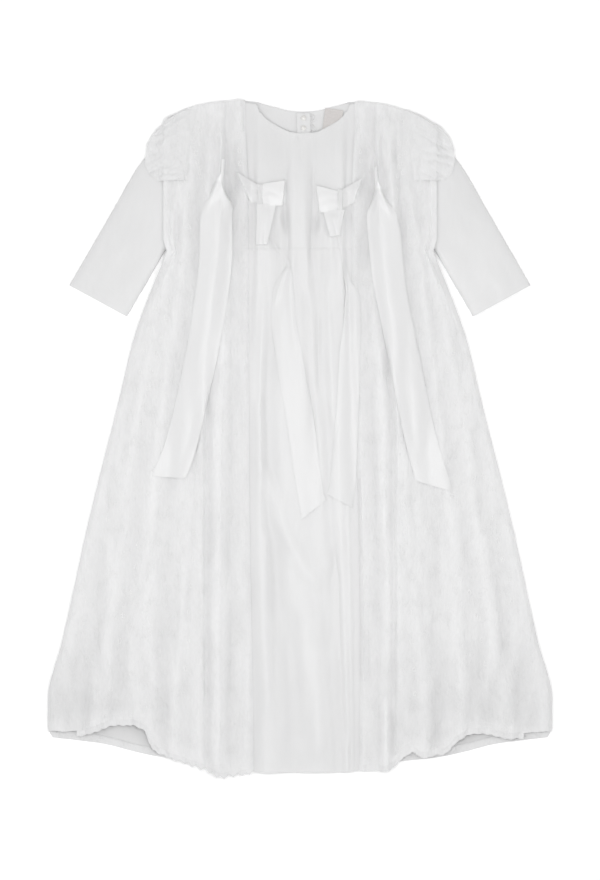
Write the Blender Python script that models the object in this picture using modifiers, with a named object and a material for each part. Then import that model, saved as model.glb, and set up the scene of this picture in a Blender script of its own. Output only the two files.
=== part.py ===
"""A baby's christening dress lying flat on its back, front up, neck towards +Y.

A plain satin gown is covered by a lace over-dress that is open down the front. Each lace front
has one deep pleat, and a ribbon tie comes out of a slit in it and is knotted in a bow on the chest.
The cloth lies in four layers: lace back, satin back, satin front, lace fronts.
Metres, +Z up, origin on the surface under the middle of the dress.
"""

import math

import bmesh
import bpy

MM = 0.001

# Cloth layers, from the surface up
CLOTH = 1.4 * MM
SEAM_GAP = 0.3 * MM
LAYER = CLOTH + SEAM_GAP
LACE_BACK_Z = 0.0
SATIN_BACK_Z = LAYER
SATIN_FRONT_Z = 2 * LAYER
LACE_FRONT_Z = 3 * LAYER

# Levels down the dress
WAIST_Y = 211 * MM
UNDERARM_Y = 208 * MM
ARMHOLE_X = 143 * MM
ARMHOLE_LACE_X = 150 * MM
NECK_CENTRE_X = 3.5 * MM

SATIN_SIDE_INSET = 7.5 * MM
SATIN_TOP_INSET = 3 * MM
SATIN_BACK_HEM_INSET = 9 * MM
EDGING_DEPTH = 8 * MM
TOOTH_PITCH = 10 * MM

# Side of the dress below the arm: height, distance from the middle
SIDE_LINE = (
    (-327, 272), (-317, 277), (-286, 277), (-220, 261), (-88, 232),
    (44, 199), (110, 183), (176, 159), (187, 154.3), (196, 150.6), (203, 147.8), (208, 146),
)

# Shoulder line of each side, from the neck out: distance from the middle, height
SHOULDER_LINE = {
    "left": (
        (48, 372), (66, 373.5), (80, 372), (111, 367.4), (125, 363), (135, 358.6), (145, 354), (150, 349),
    ),
    "right": (
        (55, 372), (70, 371.5), (84, 369.5), (96, 367.4), (111, 363), (123, 358.6), (133, 354), (146, 345.5),
    ),
}

# Necklines: distance from the neck's middle, height
FRONT_NECK = ((0, 336.6), (14, 338), (24, 342.5), (33, 347.5), (41, 353), (47, 361), (51, 371))
BACK_NECK = ((0, 360.5), (14, 361.5), (28, 365), (40, 368), (51, 371.5))

# Hem lines: distance from the middle, height
LACE_BACK_HEM = (
    (0, -358), (60, -357), (97, -355), (115, -353), (151, -349), (180, -343), (216, -334), (246, -330),
    (272, -327),
)
LACE_FRONT_HEM = {
    "left": (
        (50, -359), (70, -363), (86, -364), (98, -359), (115, -352), (151, -340), (163, -331), (172, -311),
        (190, -306), (208, -307), (225, -313), (246, -319), (272, -320),
    ),
    "right": (
        (55, -357), (92, -356.5), (102, -352), (114, -342), (124, -336), (134, -342), (160, -337), (175, -322),
        (195, -315), (215, -318), (230, -321), (250, -321), (272, -320),
    ),
}
SATIN_HEM = (
    (0, -365), (50, -364.5), (66, -363), (84, -352), (110, -344), (150, -329), (175, -304), (210, -300),
    (240, -307), (270, -309),
)

# Heights of the table columns for the folds below
SHOULDER_Y, CHEST_Y, MIDDLE_Y, HEM_Y = 345 * MM, 255 * MM, 0.0, -330 * MM

# Lace front: how far out each fold line runs, and how high the cloth stands there
# name, x at shoulder, chest, middle, hem, then lift at shoulder, chest, middle, hem
LACE_FOLDS = (
    ("front edge",    60.0,  56.5,  56.0,  51.0,   0.4, 4.0, 1.4, 1.8),
    ("pleat floor",   63.0,  61.5,  62.0,  58.0,   0.0, 0.0, 0.0, 0.2),
    ("inner ridge",   68.0,  67.0,  68.0,  67.0,   0.0, 0.0, 0.2, 0.6),
    ("inner valley",  73.0,  73.0,  75.0,  78.0,   0.0, 0.0, 0.0, 0.3),
    ("second ridge",  77.0,  77.5,  88.0,  90.0,   0.0, 0.3, 3.4, 3.4),
    ("pleat foot",    80.0,  82.0, 103.0, 103.0,   0.0, 0.0, 0.0, 0.4),
    ("pleat edge",    84.5,  86.5, 107.5, 107.5,   1.2, 8.0, 5.0, 4.4),
    ("pleat back",    94.0, 100.0, 122.0, 123.0,   1.2, 5.5, 3.4, 3.0),
    ("first hollow", 104.0, 113.0, 142.0, 152.0,   0.4, 1.4, 0.6, 0.8),
    ("first swell",  113.0, 123.0, 156.0, 180.0,   0.8, 2.6, 2.8, 6.0),
    ("next hollow",  122.0, 131.0, 168.0, 206.0,   0.4, 0.8, 0.6, 2.0),
    ("outer swell",  130.0, 138.0, 182.0, 228.0,   0.6, 1.8, 2.4, 5.0),
    ("side hollow",  136.0, 142.5, 193.0, 247.0,   0.6, 1.2, 0.6, 0.8),
)
SIDE_TURN = 6.0 * MM
SIDE_DROP = 2 * LAYER
SLEEVE_CLEARANCE = 2.4 * MM
# The right front stands a little further out towards its hem
RIGHT_SHIFT_AT_HEM = 14 * MM

# Satin front, over the whole width: x at shoulder, chest, middle, hem, then lifts
SATIN_FOLDS = (
    ("left underlay",  -60.0, -60.0, -62.0, -60.0,   0.0, 0.0, 0.0, 0.0),
    ("left step",      -52.0, -51.5, -53.0, -46.0,   0.2, 0.2, 0.0, 0.3),
    ("left ridge",     -44.0, -45.0, -46.0, -34.0,   1.6, 4.6, 2.6, 5.0),
    ("long hollow",    -30.0, -30.0, -36.0,  -4.0,   1.8, 3.8, 0.6, 0.8),
    ("sweeping ridge", -16.0, -16.0, -20.0,  22.0,   2.0, 4.2, 4.2, 3.4),
    ("middle ridge",    -8.0,  -8.0,   2.0,  34.0,   2.0, 7.0, 3.0, 2.4),
    ("middle crest",     4.0,   4.0,  18.0,  40.0,   2.0, 7.0, 2.6, 1.6),
    ("right hollow",    14.0,  14.0,  30.0,  45.0,   2.0, 4.0, 1.2, 1.2),
    ("right ridge",     32.0,  32.0,  42.0,  52.0,   1.8, 4.6, 3.0, 3.2),
    ("right fall",      46.0,  45.0,  51.0,  57.0,   1.6, 4.4, 1.6, 1.6),
    ("right step",      53.0,  51.5,  55.5,  61.5,   0.2, 0.2, 0.0, 0.2),
    ("right underlay",  62.0,  60.0,  64.0,  72.0,   0.0, 0.0, 0.0, 0.0),
)
SATIN_FLAT_X = (80.0, 110.0)
GATHERS = 7
GATHER_HEIGHT = 1.0 * MM
GATHER_LENGTH = 75 * MM

# Sleeve sections, armhole to cuff: outer edge x, y, inner edge x, y
SLEEVE_SECTIONS = (
    (143.3, 346.0, 143.3, 211.5),
    (151.0, 342.5, 147.5, 208.5),
    (158.5, 332.0, 151.0, 203.0),
    (166.0, 317.5, 154.5, 197.0),
    (181.0, 296.0, 160.0, 187.5),
    (204.7, 254.5, 169.0, 171.5),
    (229.5, 211.5, 179.5, 154.0),
    (253.5, 170.0, 190.0, 135.5),
)
SLEEVE_HEIGHT = 6.4 * MM
SLEEVE_EDGE_HEIGHT = 2.3 * MM
# Across a sleeve: share of its half width, share of its height above the folded edge
SLEEVE_ROUND = (
    (1.0, 0.0), (0.965, 0.46), (0.89, 0.72), (0.70, 0.90), (0.36, 0.99), (0.0, 1.0),
    (-0.36, 0.99), (-0.70, 0.90), (-0.89, 0.72), (-0.965, 0.46), (-1.0, 0.0),
)
SLEEVE_UNDER = (-0.955, -0.5, 0.0, 0.5, 0.955)

# Shoulder cap: the seam it hangs from, and its loose edge, top to bottom
CAP_SEAM = ((113, 362), (117, 345), (120, 328), (122, 310), (124, 293), (125, 285))
CAP_EDGE = ((154.5, 343), (163, 332), (168.5, 320), (170, 306), (166, 293), (157, 284))
CAP_WAVES = 5
CAP_WAVE_HEIGHT = 1.5 * MM

# Ribbon ties. Tail centrelines, top to bottom: x, y, width
TAILS = {
    "left_outer": (
        (-88, 283, 4), (-90, 276, 11), (-89.5, 268, 15), (-88.7, 260, 23), (-89.5, 252, 31), (-92, 240, 35),
        (-92.5, 205, 36), (-99.5, 141, 36), (-109, 88, 35), (-120, 38, 34), (-132, -10, 35), (-144, -41, 36),
    ),
    "left_inner": (
        (-33, 222, 3), (-23, 207, 3), (-12.5, 193, 4), (-14.5, 180, 13), (-18.5, 162, 23), (-18.5, 140, 26),
        (-14, 105, 29), (-7, 62, 30), (0, 23, 30), (7.5, -33, 29), (14.5, -77, 28.5),
    ),
    "right_inner": (
        (41, 226, 3), (47, 200, 4), (52.5, 174, 7), (57.5, 156, 16), (57, 125, 19), (54.6, 98, 22.5),
        (53, 55, 24), (51, 13, 25.5), (47, -46, 28), (44, -67, 28.5),
    ),
    "right_outer": (
        (85.8, 273, 4), (86, 267, 11), (86.6, 260, 18), (87.4, 252, 27.5), (89, 245, 33), (93, 222, 36),
        (95.5, 190, 35), (105.5, 132, 34), (116, 82, 34), (127, 25, 34), (138, -20, 35), (148, -51, 36),
    ),
}
TAIL_END_SLANT = {"left_outer": 0.0, "left_inner": -0.75, "right_inner": 0.5, "right_outer": 0.35}
RIBBON = 1.0 * MM
TAIL_ROWS = 20
TAIL_COLUMNS = 4
TAIL_ARCH = 0.5 * MM

# Bows: the band's middle, then each loop's two corners at the band, its two far corners and its height
BOWS = {
    "left": {
        "band": (-44, 269),
        "inner": ((-41, 278.5), (-40, 257.5), (-16.5, 284.5), (-19.8, 257), 4.8),
        "outer": ((-47.5, 280), (-47.5, 260), (-69.3, 293.7), (-53.9, 260.7), 4.8),
        "lower": ((-47, 256.4), (-26, 256.6), (-48, 214), (-36, 214), 4.6),
    },
    "right": {
        "band": (44, 263),
        "inner": ((40.7, 273.5), (40.2, 250.8), (17.6, 279), (21.3, 249.2), 4.8),
        "outer": ((47.5, 275), (47.5, 254), (68.2, 287), (58.3, 259.6), 4.8),
        "lower": ((25, 249), (49, 250.3), (33, 222.6), (43, 224), 4.6),
    },
}
BAND_SIZE = (5.6 * MM, 24 * MM, 6 * MM)

# Back neck fastening and label
PLACKET = (-3.5 * MM, 11.5 * MM, 214 * MM, 359 * MM)
PLACKET_THICKNESS = 1.0 * MM
BUTTON_RADIUS = 2.9 * MM
BUTTON_HEIGHT = 2.0 * MM
BUTTON_X = 4.0 * MM
BUTTON_YS = (353.5 * MM, 342.5 * MM)
LABEL_CENTRE = (36 * MM, 351 * MM)
LABEL_SIZE = (20 * MM, 25 * MM, 0.8 * MM)
LABEL_TILT = math.radians(-8)

LEFT, RIGHT = -1, 1
SIDES = {"left": LEFT, "right": RIGHT}


def clear_scene():
    for obj in list(bpy.data.objects):
        bpy.data.objects.remove(obj)


def material(name, colour, roughness, sheen):
    made = bpy.data.materials.new(name)
    made.use_nodes = True
    shader = made.node_tree.nodes["Principled BSDF"]
    shader.inputs["Base Color"].default_value = (*colour, 1.0)
    shader.inputs["Roughness"].default_value = roughness
    shader.inputs["Metallic"].default_value = 0.0
    shader.inputs["Sheen Weight"].default_value = sheen
    made.diffuse_color = (*colour, 1.0)
    return made


def curve_at(rows, at, column=1):
    """A smooth curve through a table whose first column rises; level past its ends."""
    if at <= rows[0][0]:
        return rows[0][column]
    if at >= rows[-1][0]:
        return rows[-1][column]
    last = len(rows) - 1
    i = next(k for k in range(last) if at <= rows[k + 1][0])
    step = rows[i + 1][0] - rows[i][0]
    rise = rows[i + 1][column] - rows[i][column]

    def slope(k):
        if k in (0, last):
            return rise / step
        before = (rows[k][column] - rows[k - 1][column]) / (rows[k][0] - rows[k - 1][0])
        after = (rows[k + 1][column] - rows[k][column]) / (rows[k + 1][0] - rows[k][0])
        return 0.0 if before * after <= 0 else 2 * before * after / (before + after)

    t = (at - rows[i][0]) / step
    start, end = slope(i) * step, slope(i + 1) * step
    return (
        rows[i][column] * (2 * t**3 - 3 * t**2 + 1)
        + start * (t**3 - 2 * t**2 + t)
        + rows[i + 1][column] * (3 * t**2 - 2 * t**3)
        + end * (t**3 - t**2)
    )


def in_mm(rows, at, column=1):
    """The same, for a table in millimetres asked in metres."""
    return curve_at(rows, at / MM, column) * MM


def smooth(t):
    t = min(max(t, 0.0), 1.0)
    return t * t * (3 - 2 * t)


def mix(a, b, t):
    return a + (b - a) * t


def fold_lines(table):
    """Each fold line as two small tables over height: where it runs and how high it stands."""
    lines = []
    for _, *numbers in table:
        levels = (HEM_Y, MIDDLE_Y, CHEST_Y, SHOULDER_Y)
        places = tuple(zip(levels, (n * MM for n in reversed(numbers[:4]))))
        lifts = tuple(zip(levels, (n * MM for n in reversed(numbers[4:]))))
        lines.append((places, lifts))
    return lines


LACE_LINES = fold_lines(LACE_FOLDS)
SATIN_LINES = fold_lines(SATIN_FOLDS)


def side_line(y):
    """Outer edge of the dress at a height; above the arm it is the edge of the lace armhole."""
    if y > UNDERARM_Y:
        return mix(147 * MM, ARMHOLE_LACE_X, smooth((y - UNDERARM_Y) / (14 * MM)))
    return in_mm(SIDE_LINE, y)


def lace_profile(side, y):
    """Fold lines of a lace front at one height, inside to outside: (distance from the middle, lift)."""
    down = smooth((CHEST_Y - y) / (CHEST_Y - HEM_Y))
    shift = RIGHT_SHIFT_AT_HEM * down if side == "right" else 0.0
    edge = side_line(y)
    profile = []
    for places, lifts in LACE_LINES:
        x = curve_at(places, y)
        share = 1 - smooth((x - 60 * MM) / (45 * MM))
        profile.append([x + shift * share, curve_at(lifts, y)])
    over_sleeve = smooth((y - 190 * MM) / (17 * MM))
    turn_lift = mix(0.0, SLEEVE_CLEARANCE, over_sleeve)
    edge_lift = mix(-SIDE_DROP, SLEEVE_CLEARANCE, over_sleeve)
    # Over the arm the outer folds crowd together, so they are kept in order inside the edge.
    for k in range(len(profile) - 1, -1, -1):
        room = SIDE_TURN + 2.2 * MM * (len(profile) - k)
        profile[k][0] = min(profile[k][0], edge - room)
    profile.append([edge - SIDE_TURN, turn_lift])
    profile.append([edge, edge_lift])
    return profile


def satin_profile(y):
    """Fold lines of the satin front at one height, left to right."""
    edge = ARMHOLE_X - SEAM_GAP if y > WAIST_Y else side_line(y) - SATIN_SIDE_INSET
    profile = [[curve_at(places, y), curve_at(lifts, y)] for places, lifts in SATIN_LINES]
    flats = [min(x * MM, edge - 8 * MM) for x in SATIN_FLAT_X]
    outer = [[x, 0.0] for x in (*flats, edge)]
    return [[-x, z] for x, z in reversed(outer)] + profile + outer


def gathers(x, y):
    """Small gathers where the skirt is drawn into the bodice."""
    reach = GATHER_LENGTH if y < WAIST_Y else GATHER_LENGTH / 3
    fade = smooth(1 - abs(WAIST_Y - y) / reach)
    across = smooth((48 * MM - abs(x)) / (10 * MM))
    return GATHER_HEIGHT * fade * across * (0.5 - 0.5 * math.cos(2 * math.pi * GATHERS * x / (96 * MM)))


def height_in(profile, x):
    """Lift of a profile at a distance across, rising smoothly from one fold line to the next."""
    if x <= profile[0][0]:
        return profile[0][1]
    for (xa, za), (xb, zb) in zip(profile, profile[1:]):
        if x <= xb:
            return mix(za, zb, smooth((x - xa) / max(xb - xa, 1e-6)))
    return profile[-1][1]


def shoulder_y(side, out):
    return in_mm(SHOULDER_LINE[side], out)


def neck_y(rows, x):
    return in_mm(rows, abs(x - NECK_CENTRE_X))


def satin_top_y(x):
    """Top edge of the satin front: the neckline, then the shoulder."""
    from_neck = abs(x - NECK_CENTRE_X)
    side = "left" if x < NECK_CENTRE_X else "right"
    if from_neck < 51 * MM:
        return in_mm(FRONT_NECK, from_neck) - (0.0 if from_neck < 47 * MM else SATIN_TOP_INSET)
    return shoulder_y(side, abs(x)) - SATIN_TOP_INSET


def finish_mesh(name, bm, look, collection, flat=False):
    mesh = bpy.data.meshes.new(name)
    bmesh.ops.recalc_face_normals(bm, faces=bm.faces)
    bm.to_mesh(mesh)
    bm.free()
    if not flat:
        mesh.shade_smooth()
    obj = bpy.data.objects.new(name, mesh)
    mesh.materials.append(look)
    collection.objects.link(obj)
    return obj


def sheet(name, columns, rows, place, look, collection, thickness=CLOTH):
    """A cloth wall: a grid whose points are put on their place, thickened upwards."""
    bm = bmesh.new()
    bmesh.ops.create_grid(bm, x_segments=columns, y_segments=rows, size=0.5)
    for vert in bm.verts:
        i = round((vert.co.x + 0.5) * columns)
        j = round((0.5 - vert.co.y) * rows)
        vert.co = place(i, j)
    obj = finish_mesh(name, bm, look, collection)
    up = sum(face.normal.z for face in obj.data.polygons) > 0
    wall = obj.modifiers.new("wall", "SOLIDIFY")
    wall.thickness = thickness
    wall.offset = 1.0 if up else -1.0
    return obj


def spread(count_between, lines):
    """Splits the spaces between fold lines: (line, share of the way to the next) for each column."""
    columns = []
    for k in range(lines - 1):
        parts = count_between(k)
        columns += [(k, s / parts) for s in range(parts)]
    return [*columns, (lines - 2, 1.0)]


def across(profile, column):
    k, t = column
    (xa, za), (xb, zb) = profile[k], profile[k + 1]
    return mix(xa, xb, t), mix(za, zb, smooth(t))


# Share of the way down for each row of points, above and below the arm
ROWS_ABOVE = (0.0, 0.2, 0.42, 0.64, 0.84, 1.0)
ROWS_BELOW = (0.036, 0.1, 0.2, 0.32, 0.45, 0.58, 0.71, 0.83, 0.93, 1.0)


def lace_front_columns():
    return spread(lambda k: 2 if 1 <= k <= 11 else 1, len(LACE_LINES) + 2)


def lace_front_place(side, column, step):
    """A point of a lace front; steps run 0 to 1 down to the arm and 1 to 2 on to the hem."""
    top_out, _ = across(lace_profile(side, SHOULDER_Y), column)
    hem_out, _ = across(lace_profile(side, HEM_Y), column)
    top = shoulder_y(side, max(top_out, 50 * MM))
    hem = in_mm(LACE_FRONT_HEM[side], hem_out)
    y = mix(top, UNDERARM_Y, step) if step <= 1 else mix(UNDERARM_Y, hem, step - 1)
    out, lift = across(lace_profile(side, y), column)
    return SIDES[side] * out, y, LACE_FRONT_Z + lift


def make_lace_front(side, look, collection):
    columns = lace_front_columns()
    steps = [*ROWS_ABOVE, *(1 + s for s in ROWS_BELOW)]

    def place(i, j):
        return lace_front_place(side, columns[i], steps[j])

    return sheet(f"lace_front_{side}", len(columns) - 1, len(steps) - 1, place, look, collection)


def make_hem_edging(side, look, collection):
    """Pointed lace sewn along a lace front's hem; its upper edge follows the hem's own points."""
    hem = [lace_front_place(side, column, 2.0) for column in lace_front_columns()[:-2]]
    spots = []
    for (xa, ya, za), (xb, yb, zb) in zip(hem, hem[1:]):
        parts = 2 * max(round(math.hypot(xb - xa, yb - ya) / TOOTH_PITCH), 1)
        shares = [k / parts for k in range(parts)]
        spots += [(mix(xa, xb, t), mix(ya, yb, t), mix(za, zb, t)) for t in shares]
    spots.append(hem[-1])

    def place(i, j):
        x, top, z = spots[i]
        inner_share = 1 - smooth((abs(x) - 120 * MM) / (50 * MM))
        point = mix(0.35, 1.0, inner_share) if side == "left" else 0.35
        depth = EDGING_DEPTH * (1.0 if i % 2 else 1 - 0.5 * point)
        return x, top - 1.6 * SEAM_GAP - (0.0, 0.45, 1.0)[j] * depth, z

    return sheet(f"hem_edging_{side}", len(spots) - 1, 2, place, look, collection)


def satin_columns():
    lines = len(SATIN_FOLDS) + 2 * (len(SATIN_FLAT_X) + 1)
    edge = len(SATIN_FLAT_X) + 1
    return spread(lambda k: 2 if edge < k < lines - edge - 2 else 1, lines)


def satin_point(column, y):
    x, lift = across(satin_profile(y), column)
    return x, SATIN_FRONT_Z + lift + gathers(x, y)


def make_bodice_front(look, collection):
    columns = satin_columns()
    rows = 7

    def place(i, j):
        top_x, _ = across(satin_profile(SHOULDER_Y), columns[i])
        y = mix(satin_top_y(top_x), WAIST_Y + SEAM_GAP / 2, j / rows)
        x, z = satin_point(columns[i], y)
        return x, y, z

    return sheet("bodice_front", len(columns) - 1, rows, place, look, collection)


def make_skirt_front(look, collection):
    columns = satin_columns()
    steps = (0.0, 0.04, 0.1, 0.18, 0.28, 0.39, 0.5, 0.61, 0.72, 0.83, 0.92, 1.0)

    def place(i, j):
        hem_x, _ = across(satin_profile(HEM_Y), columns[i])
        y = mix(WAIST_Y - SEAM_GAP / 2, in_mm(SATIN_HEM, abs(hem_x)), steps[j])
        x, z = satin_point(columns[i], y)
        return x, y, z

    return sheet("skirt_front", len(columns) - 1, len(steps) - 1, place, look, collection)


def flat_piece(name, outline, bottom, thickness, look, collection):
    """A flat piece of cloth cut to an outline."""
    curve = bpy.data.curves.new(name, "CURVE")
    curve.dimensions = "2D"
    curve.fill_mode = "BOTH"
    curve.extrude = thickness / 2
    spline = curve.splines.new("POLY")
    spline.points.add(len(outline) - 1)
    for point, (x, y) in zip(spline.points, outline):
        point.co = (x, y, 0.0, 1.0)
    spline.use_cyclic_u = True
    obj = bpy.data.objects.new(name, curve)
    obj.location.z = bottom + thickness / 2
    curve.materials.append(look)
    collection.objects.link(obj)
    return obj


def steps_between(a, b, count):
    return [mix(a, b, k / count) for k in range(count + 1)]


def back_shoulder(side, inset):
    """Points along the back's shoulder, armhole to neck."""
    neck_out = abs(NECK_CENTRE_X + SIDES[side] * 50 * MM)
    outs = steps_between(ARMHOLE_X - SEAM_GAP, neck_out, 8)
    return [(SIDES[side] * out, shoulder_y(side, out) - inset) for out in outs]


def back_neck(start, end, count):
    """Points along the back neckline between two places across."""
    return [(x, neck_y(BACK_NECK, x)) for x in steps_between(start, end, count)]


def half_back(side, levels, hem, inset):
    """The side and hem of a back piece, underarm to the middle of the hem."""
    sign = SIDES[side]
    points = [(sign * (side_line(y) - inset), y) for y in levels]
    corner = side_line(levels[-1]) - inset
    outs = steps_between(corner, 0.0, 12)[1:-1]
    return points + [(sign * out, in_mm(LACE_BACK_HEM, out) + hem) for out in outs]


def make_backs(satin, lace, collection):
    neck_left, neck_right = NECK_CENTRE_X - 50 * MM, NECK_CENTRE_X + 50 * MM
    armhole = ARMHOLE_X - SEAM_GAP
    levels = [y * MM for y in (207.6, 203, 196, 187, 176, 110, 44, -88, -220, -286, -317, -326)]
    left = half_back("left", levels, 0.0, 0.0)
    right = half_back("right", levels, 0.0, 0.0)
    outline = (
        [(-armhole, UNDERARM_Y + 2.5 * MM)] + back_shoulder("left", 0.0)
        + back_neck(neck_left, neck_right, 12)[1:-1] + back_shoulder("right", 0.0)[::-1]
        + [(armhole, UNDERARM_Y + 2.5 * MM)] + right + [(0.0, in_mm(LACE_BACK_HEM, 0.0))] + left[::-1]
    )
    flat_piece("lace_back", outline, LACE_BACK_Z, CLOTH, lace, collection)
    waist = WAIST_Y - SEAM_GAP / 2
    levels = [y * MM for y in (200, 176, 110, 44, -88, -220, -286, -310)]
    left = half_back("left", levels, SATIN_BACK_HEM_INSET, SATIN_SIDE_INSET)
    right = half_back("right", levels, SATIN_BACK_HEM_INSET, SATIN_SIDE_INSET)
    corner = side_line(UNDERARM_Y) - SATIN_SIDE_INSET
    hem_middle = (0.0, in_mm(LACE_BACK_HEM, 0.0) + SATIN_BACK_HEM_INSET)
    outline = [(corner, waist), *right, hem_middle, *left[::-1], (-corner, waist)]
    flat_piece("skirt_back", outline, SATIN_BACK_Z, CLOTH, satin, collection)
    waist = WAIST_Y + SEAM_GAP / 2
    for side, sign in SIDES.items():
        middle = NECK_CENTRE_X + sign * SEAM_GAP / 2
        end = neck_left if side == "left" else neck_right
        outline = (
            [(sign * (ARMHOLE_X - SEAM_GAP), waist)] + back_shoulder(side, SATIN_TOP_INSET)
            + back_neck(end, middle, 6)[1:] + [(middle, waist)]
        )
        flat_piece(f"bodice_back_{side}", outline, SATIN_BACK_Z, CLOTH, satin, collection)


def make_sleeve(side, look, collection):
    """A sleeve pressed flat: rings from the armhole to the open cuff."""
    bm = bmesh.new()
    rings = []
    for outer_x, outer_y, inner_x, inner_y in SLEEVE_SECTIONS:
        centre = ((outer_x + inner_x) / 2, (outer_y + inner_y) / 2)
        half = ((outer_x - inner_x) / 2, (outer_y - inner_y) / 2)
        crown = SLEEVE_HEIGHT - SLEEVE_EDGE_HEIGHT
        ring = [(s, SLEEVE_EDGE_HEIGHT + crown * h) for s, h in SLEEVE_ROUND]
        ring += [(s, 0.0) for s in SLEEVE_UNDER]
        verts = [
            bm.verts.new((
                SIDES[side] * (centre[0] + s * half[0]) * MM,
                (centre[1] + s * half[1]) * MM,
                z,
            ))
            for s, z in ring
        ]
        rings.append([bm.edges.new(pair) for pair in zip(verts, verts[1:] + verts[:1])])
    for near, far in zip(rings, rings[1:]):
        bmesh.ops.bridge_loops(bm, edges=near + far)
    obj = finish_mesh(f"sleeve_{side}", bm, look, collection)
    wall = obj.modifiers.new("wall", "SOLIDIFY")
    wall.thickness = CLOTH
    wall.offset = -1.0
    return obj


def make_cap(side, look, collection):
    """A gathered cap that hangs from the shoulder over the top of the sleeve."""
    columns, rows = 6, 4 * CAP_WAVES
    sign = SIDES[side]

    def place(i, j):
        down, out = j / rows, i / columns
        seam = [curve_at(tuple((k / 5, p[c]) for k, p in enumerate(CAP_SEAM)), down) for c in (0, 1)]
        edge = [curve_at(tuple((k / 5, p[c]) for k, p in enumerate(CAP_EDGE)), down) for c in (0, 1)]
        x, y = (mix(s, e, out) * MM for s, e in zip(seam, edge))
        limit = shoulder_y(side, x) + 0.5 * MM if x < 150 * MM else y
        y = min(y + 6 * MM * (1 - down) * math.sin(math.pi * out), limit)
        wave = CAP_WAVE_HEIGHT * smooth(out * 1.6) * (0.5 - 0.5 * math.cos(2 * math.pi * CAP_WAVES * down))
        rim = smooth((out - 0.80) / 0.20)
        head = smooth((0.14 - down) / 0.14)
        body = LACE_FRONT_Z + CLOTH + SLEEVE_CLEARANCE + SEAM_GAP + 0.5 * MM
        past_lace = smooth((x - 151 * MM) / (8 * MM))
        drop = max(0.9 * MM * max(rim, 0.6 * head), 2.2 * MM * past_lace)
        z = body + wave + 1.6 * MM * math.sin(math.pi * min(out * 1.1, 1)) - drop
        return sign * x, y, z

    return sheet(f"lace_cap_{side}", columns, rows, place, look, collection)


def stack_height(x, y):
    """Top of the cloth that lies at a place."""
    top = SATIN_FRONT_Z + CLOTH + height_in(satin_profile(y), x) + gathers(x, y)
    for side, sign in SIDES.items():
        profile = lace_profile(side, y)
        out = sign * x
        if profile[0][0] - 1 * MM <= out <= profile[-1][0]:
            top = max(top, LACE_FRONT_Z + 1.15 * CLOTH + height_in(profile, out))
    return top


def rest_height(x, y, reach_x, reach_y):
    """Height at which something stiff rests on the cloth around a place."""
    tops = [
        stack_height(x + a * reach_x / 3, y + b * reach_y / 2)
        for a in range(-3, 4)
        for b in range(-2, 3)
    ]
    return max(tops)


def path_table(rows):
    """A tail's rows, each with its share of the way down, measured by length more than by number."""
    run = [0.0]
    for (xa, ya, _), (xb, yb, _) in zip(rows, rows[1:]):
        run.append(run[-1] + math.hypot(xb - xa, yb - ya))
    return tuple((k / (len(rows) - 1) / 3 + run[k] / run[-1] / 1.5, *row) for k, row in enumerate(rows))


def path_point(rows, t):
    """Place, width and direction along a tail's centreline, t from 0 to 1."""
    table = path_table(rows)
    x, y, width = (curve_at(table, t, column) * MM for column in (1, 2, 3))
    ahead = min(t + 0.02, 1.0)
    behind = max(t - 0.02, 0.0)
    dx = curve_at(table, ahead, 1) - curve_at(table, behind, 1)
    dy = curve_at(table, ahead, 2) - curve_at(table, behind, 2)
    length = math.hypot(dx, dy)
    return x, y, width, dx / length, dy / length


def tail_heights(rows):
    """Height of a tail at each row of points: it spans from one ridge under it to the next."""
    spots = [path_point(rows, k / TAIL_ROWS) for k in range(TAIL_ROWS + 1)]
    under = [rest_height(x, y, width / 2 + 1.5 * MM, 9 * MM) for x, y, width, _, _ in spots]
    eased = [max(under[max(k - 1, 0):k + 2]) for k in range(len(under))]
    return [sum(eased[max(k - 1, 0):k + 2]) / len(eased[max(k - 1, 0):k + 2]) for k in range(len(eased))]


def make_tail(name, look, collection):
    rows = TAILS[name]
    heights = tail_heights(rows)

    def place(i, j):
        x, y, width, dx, dy = path_point(rows, j / TAIL_ROWS)
        share = 2 * i / TAIL_COLUMNS - 1
        slant = TAIL_END_SLANT[name] * smooth((j - TAIL_ROWS + 2) / 2) * share * width / 2
        arch = TAIL_ARCH * (1 - share * share)
        return (
            x - dy * share * width / 2 + dx * slant,
            y + dx * share * width / 2 + dy * slant,
            heights[j] + SEAM_GAP + arch,
        )

    return sheet(f"ribbon_{name}", TAIL_COLUMNS, TAIL_ROWS, place, look, collection, RIBBON)


def bow_floor(side):
    """Height under a bow: over the cloth around its band."""
    x, y = (v * MM for v in BOWS[side]["band"])
    return rest_height(x, y, 26 * MM, 26 * MM) + 0.8 * MM


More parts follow.
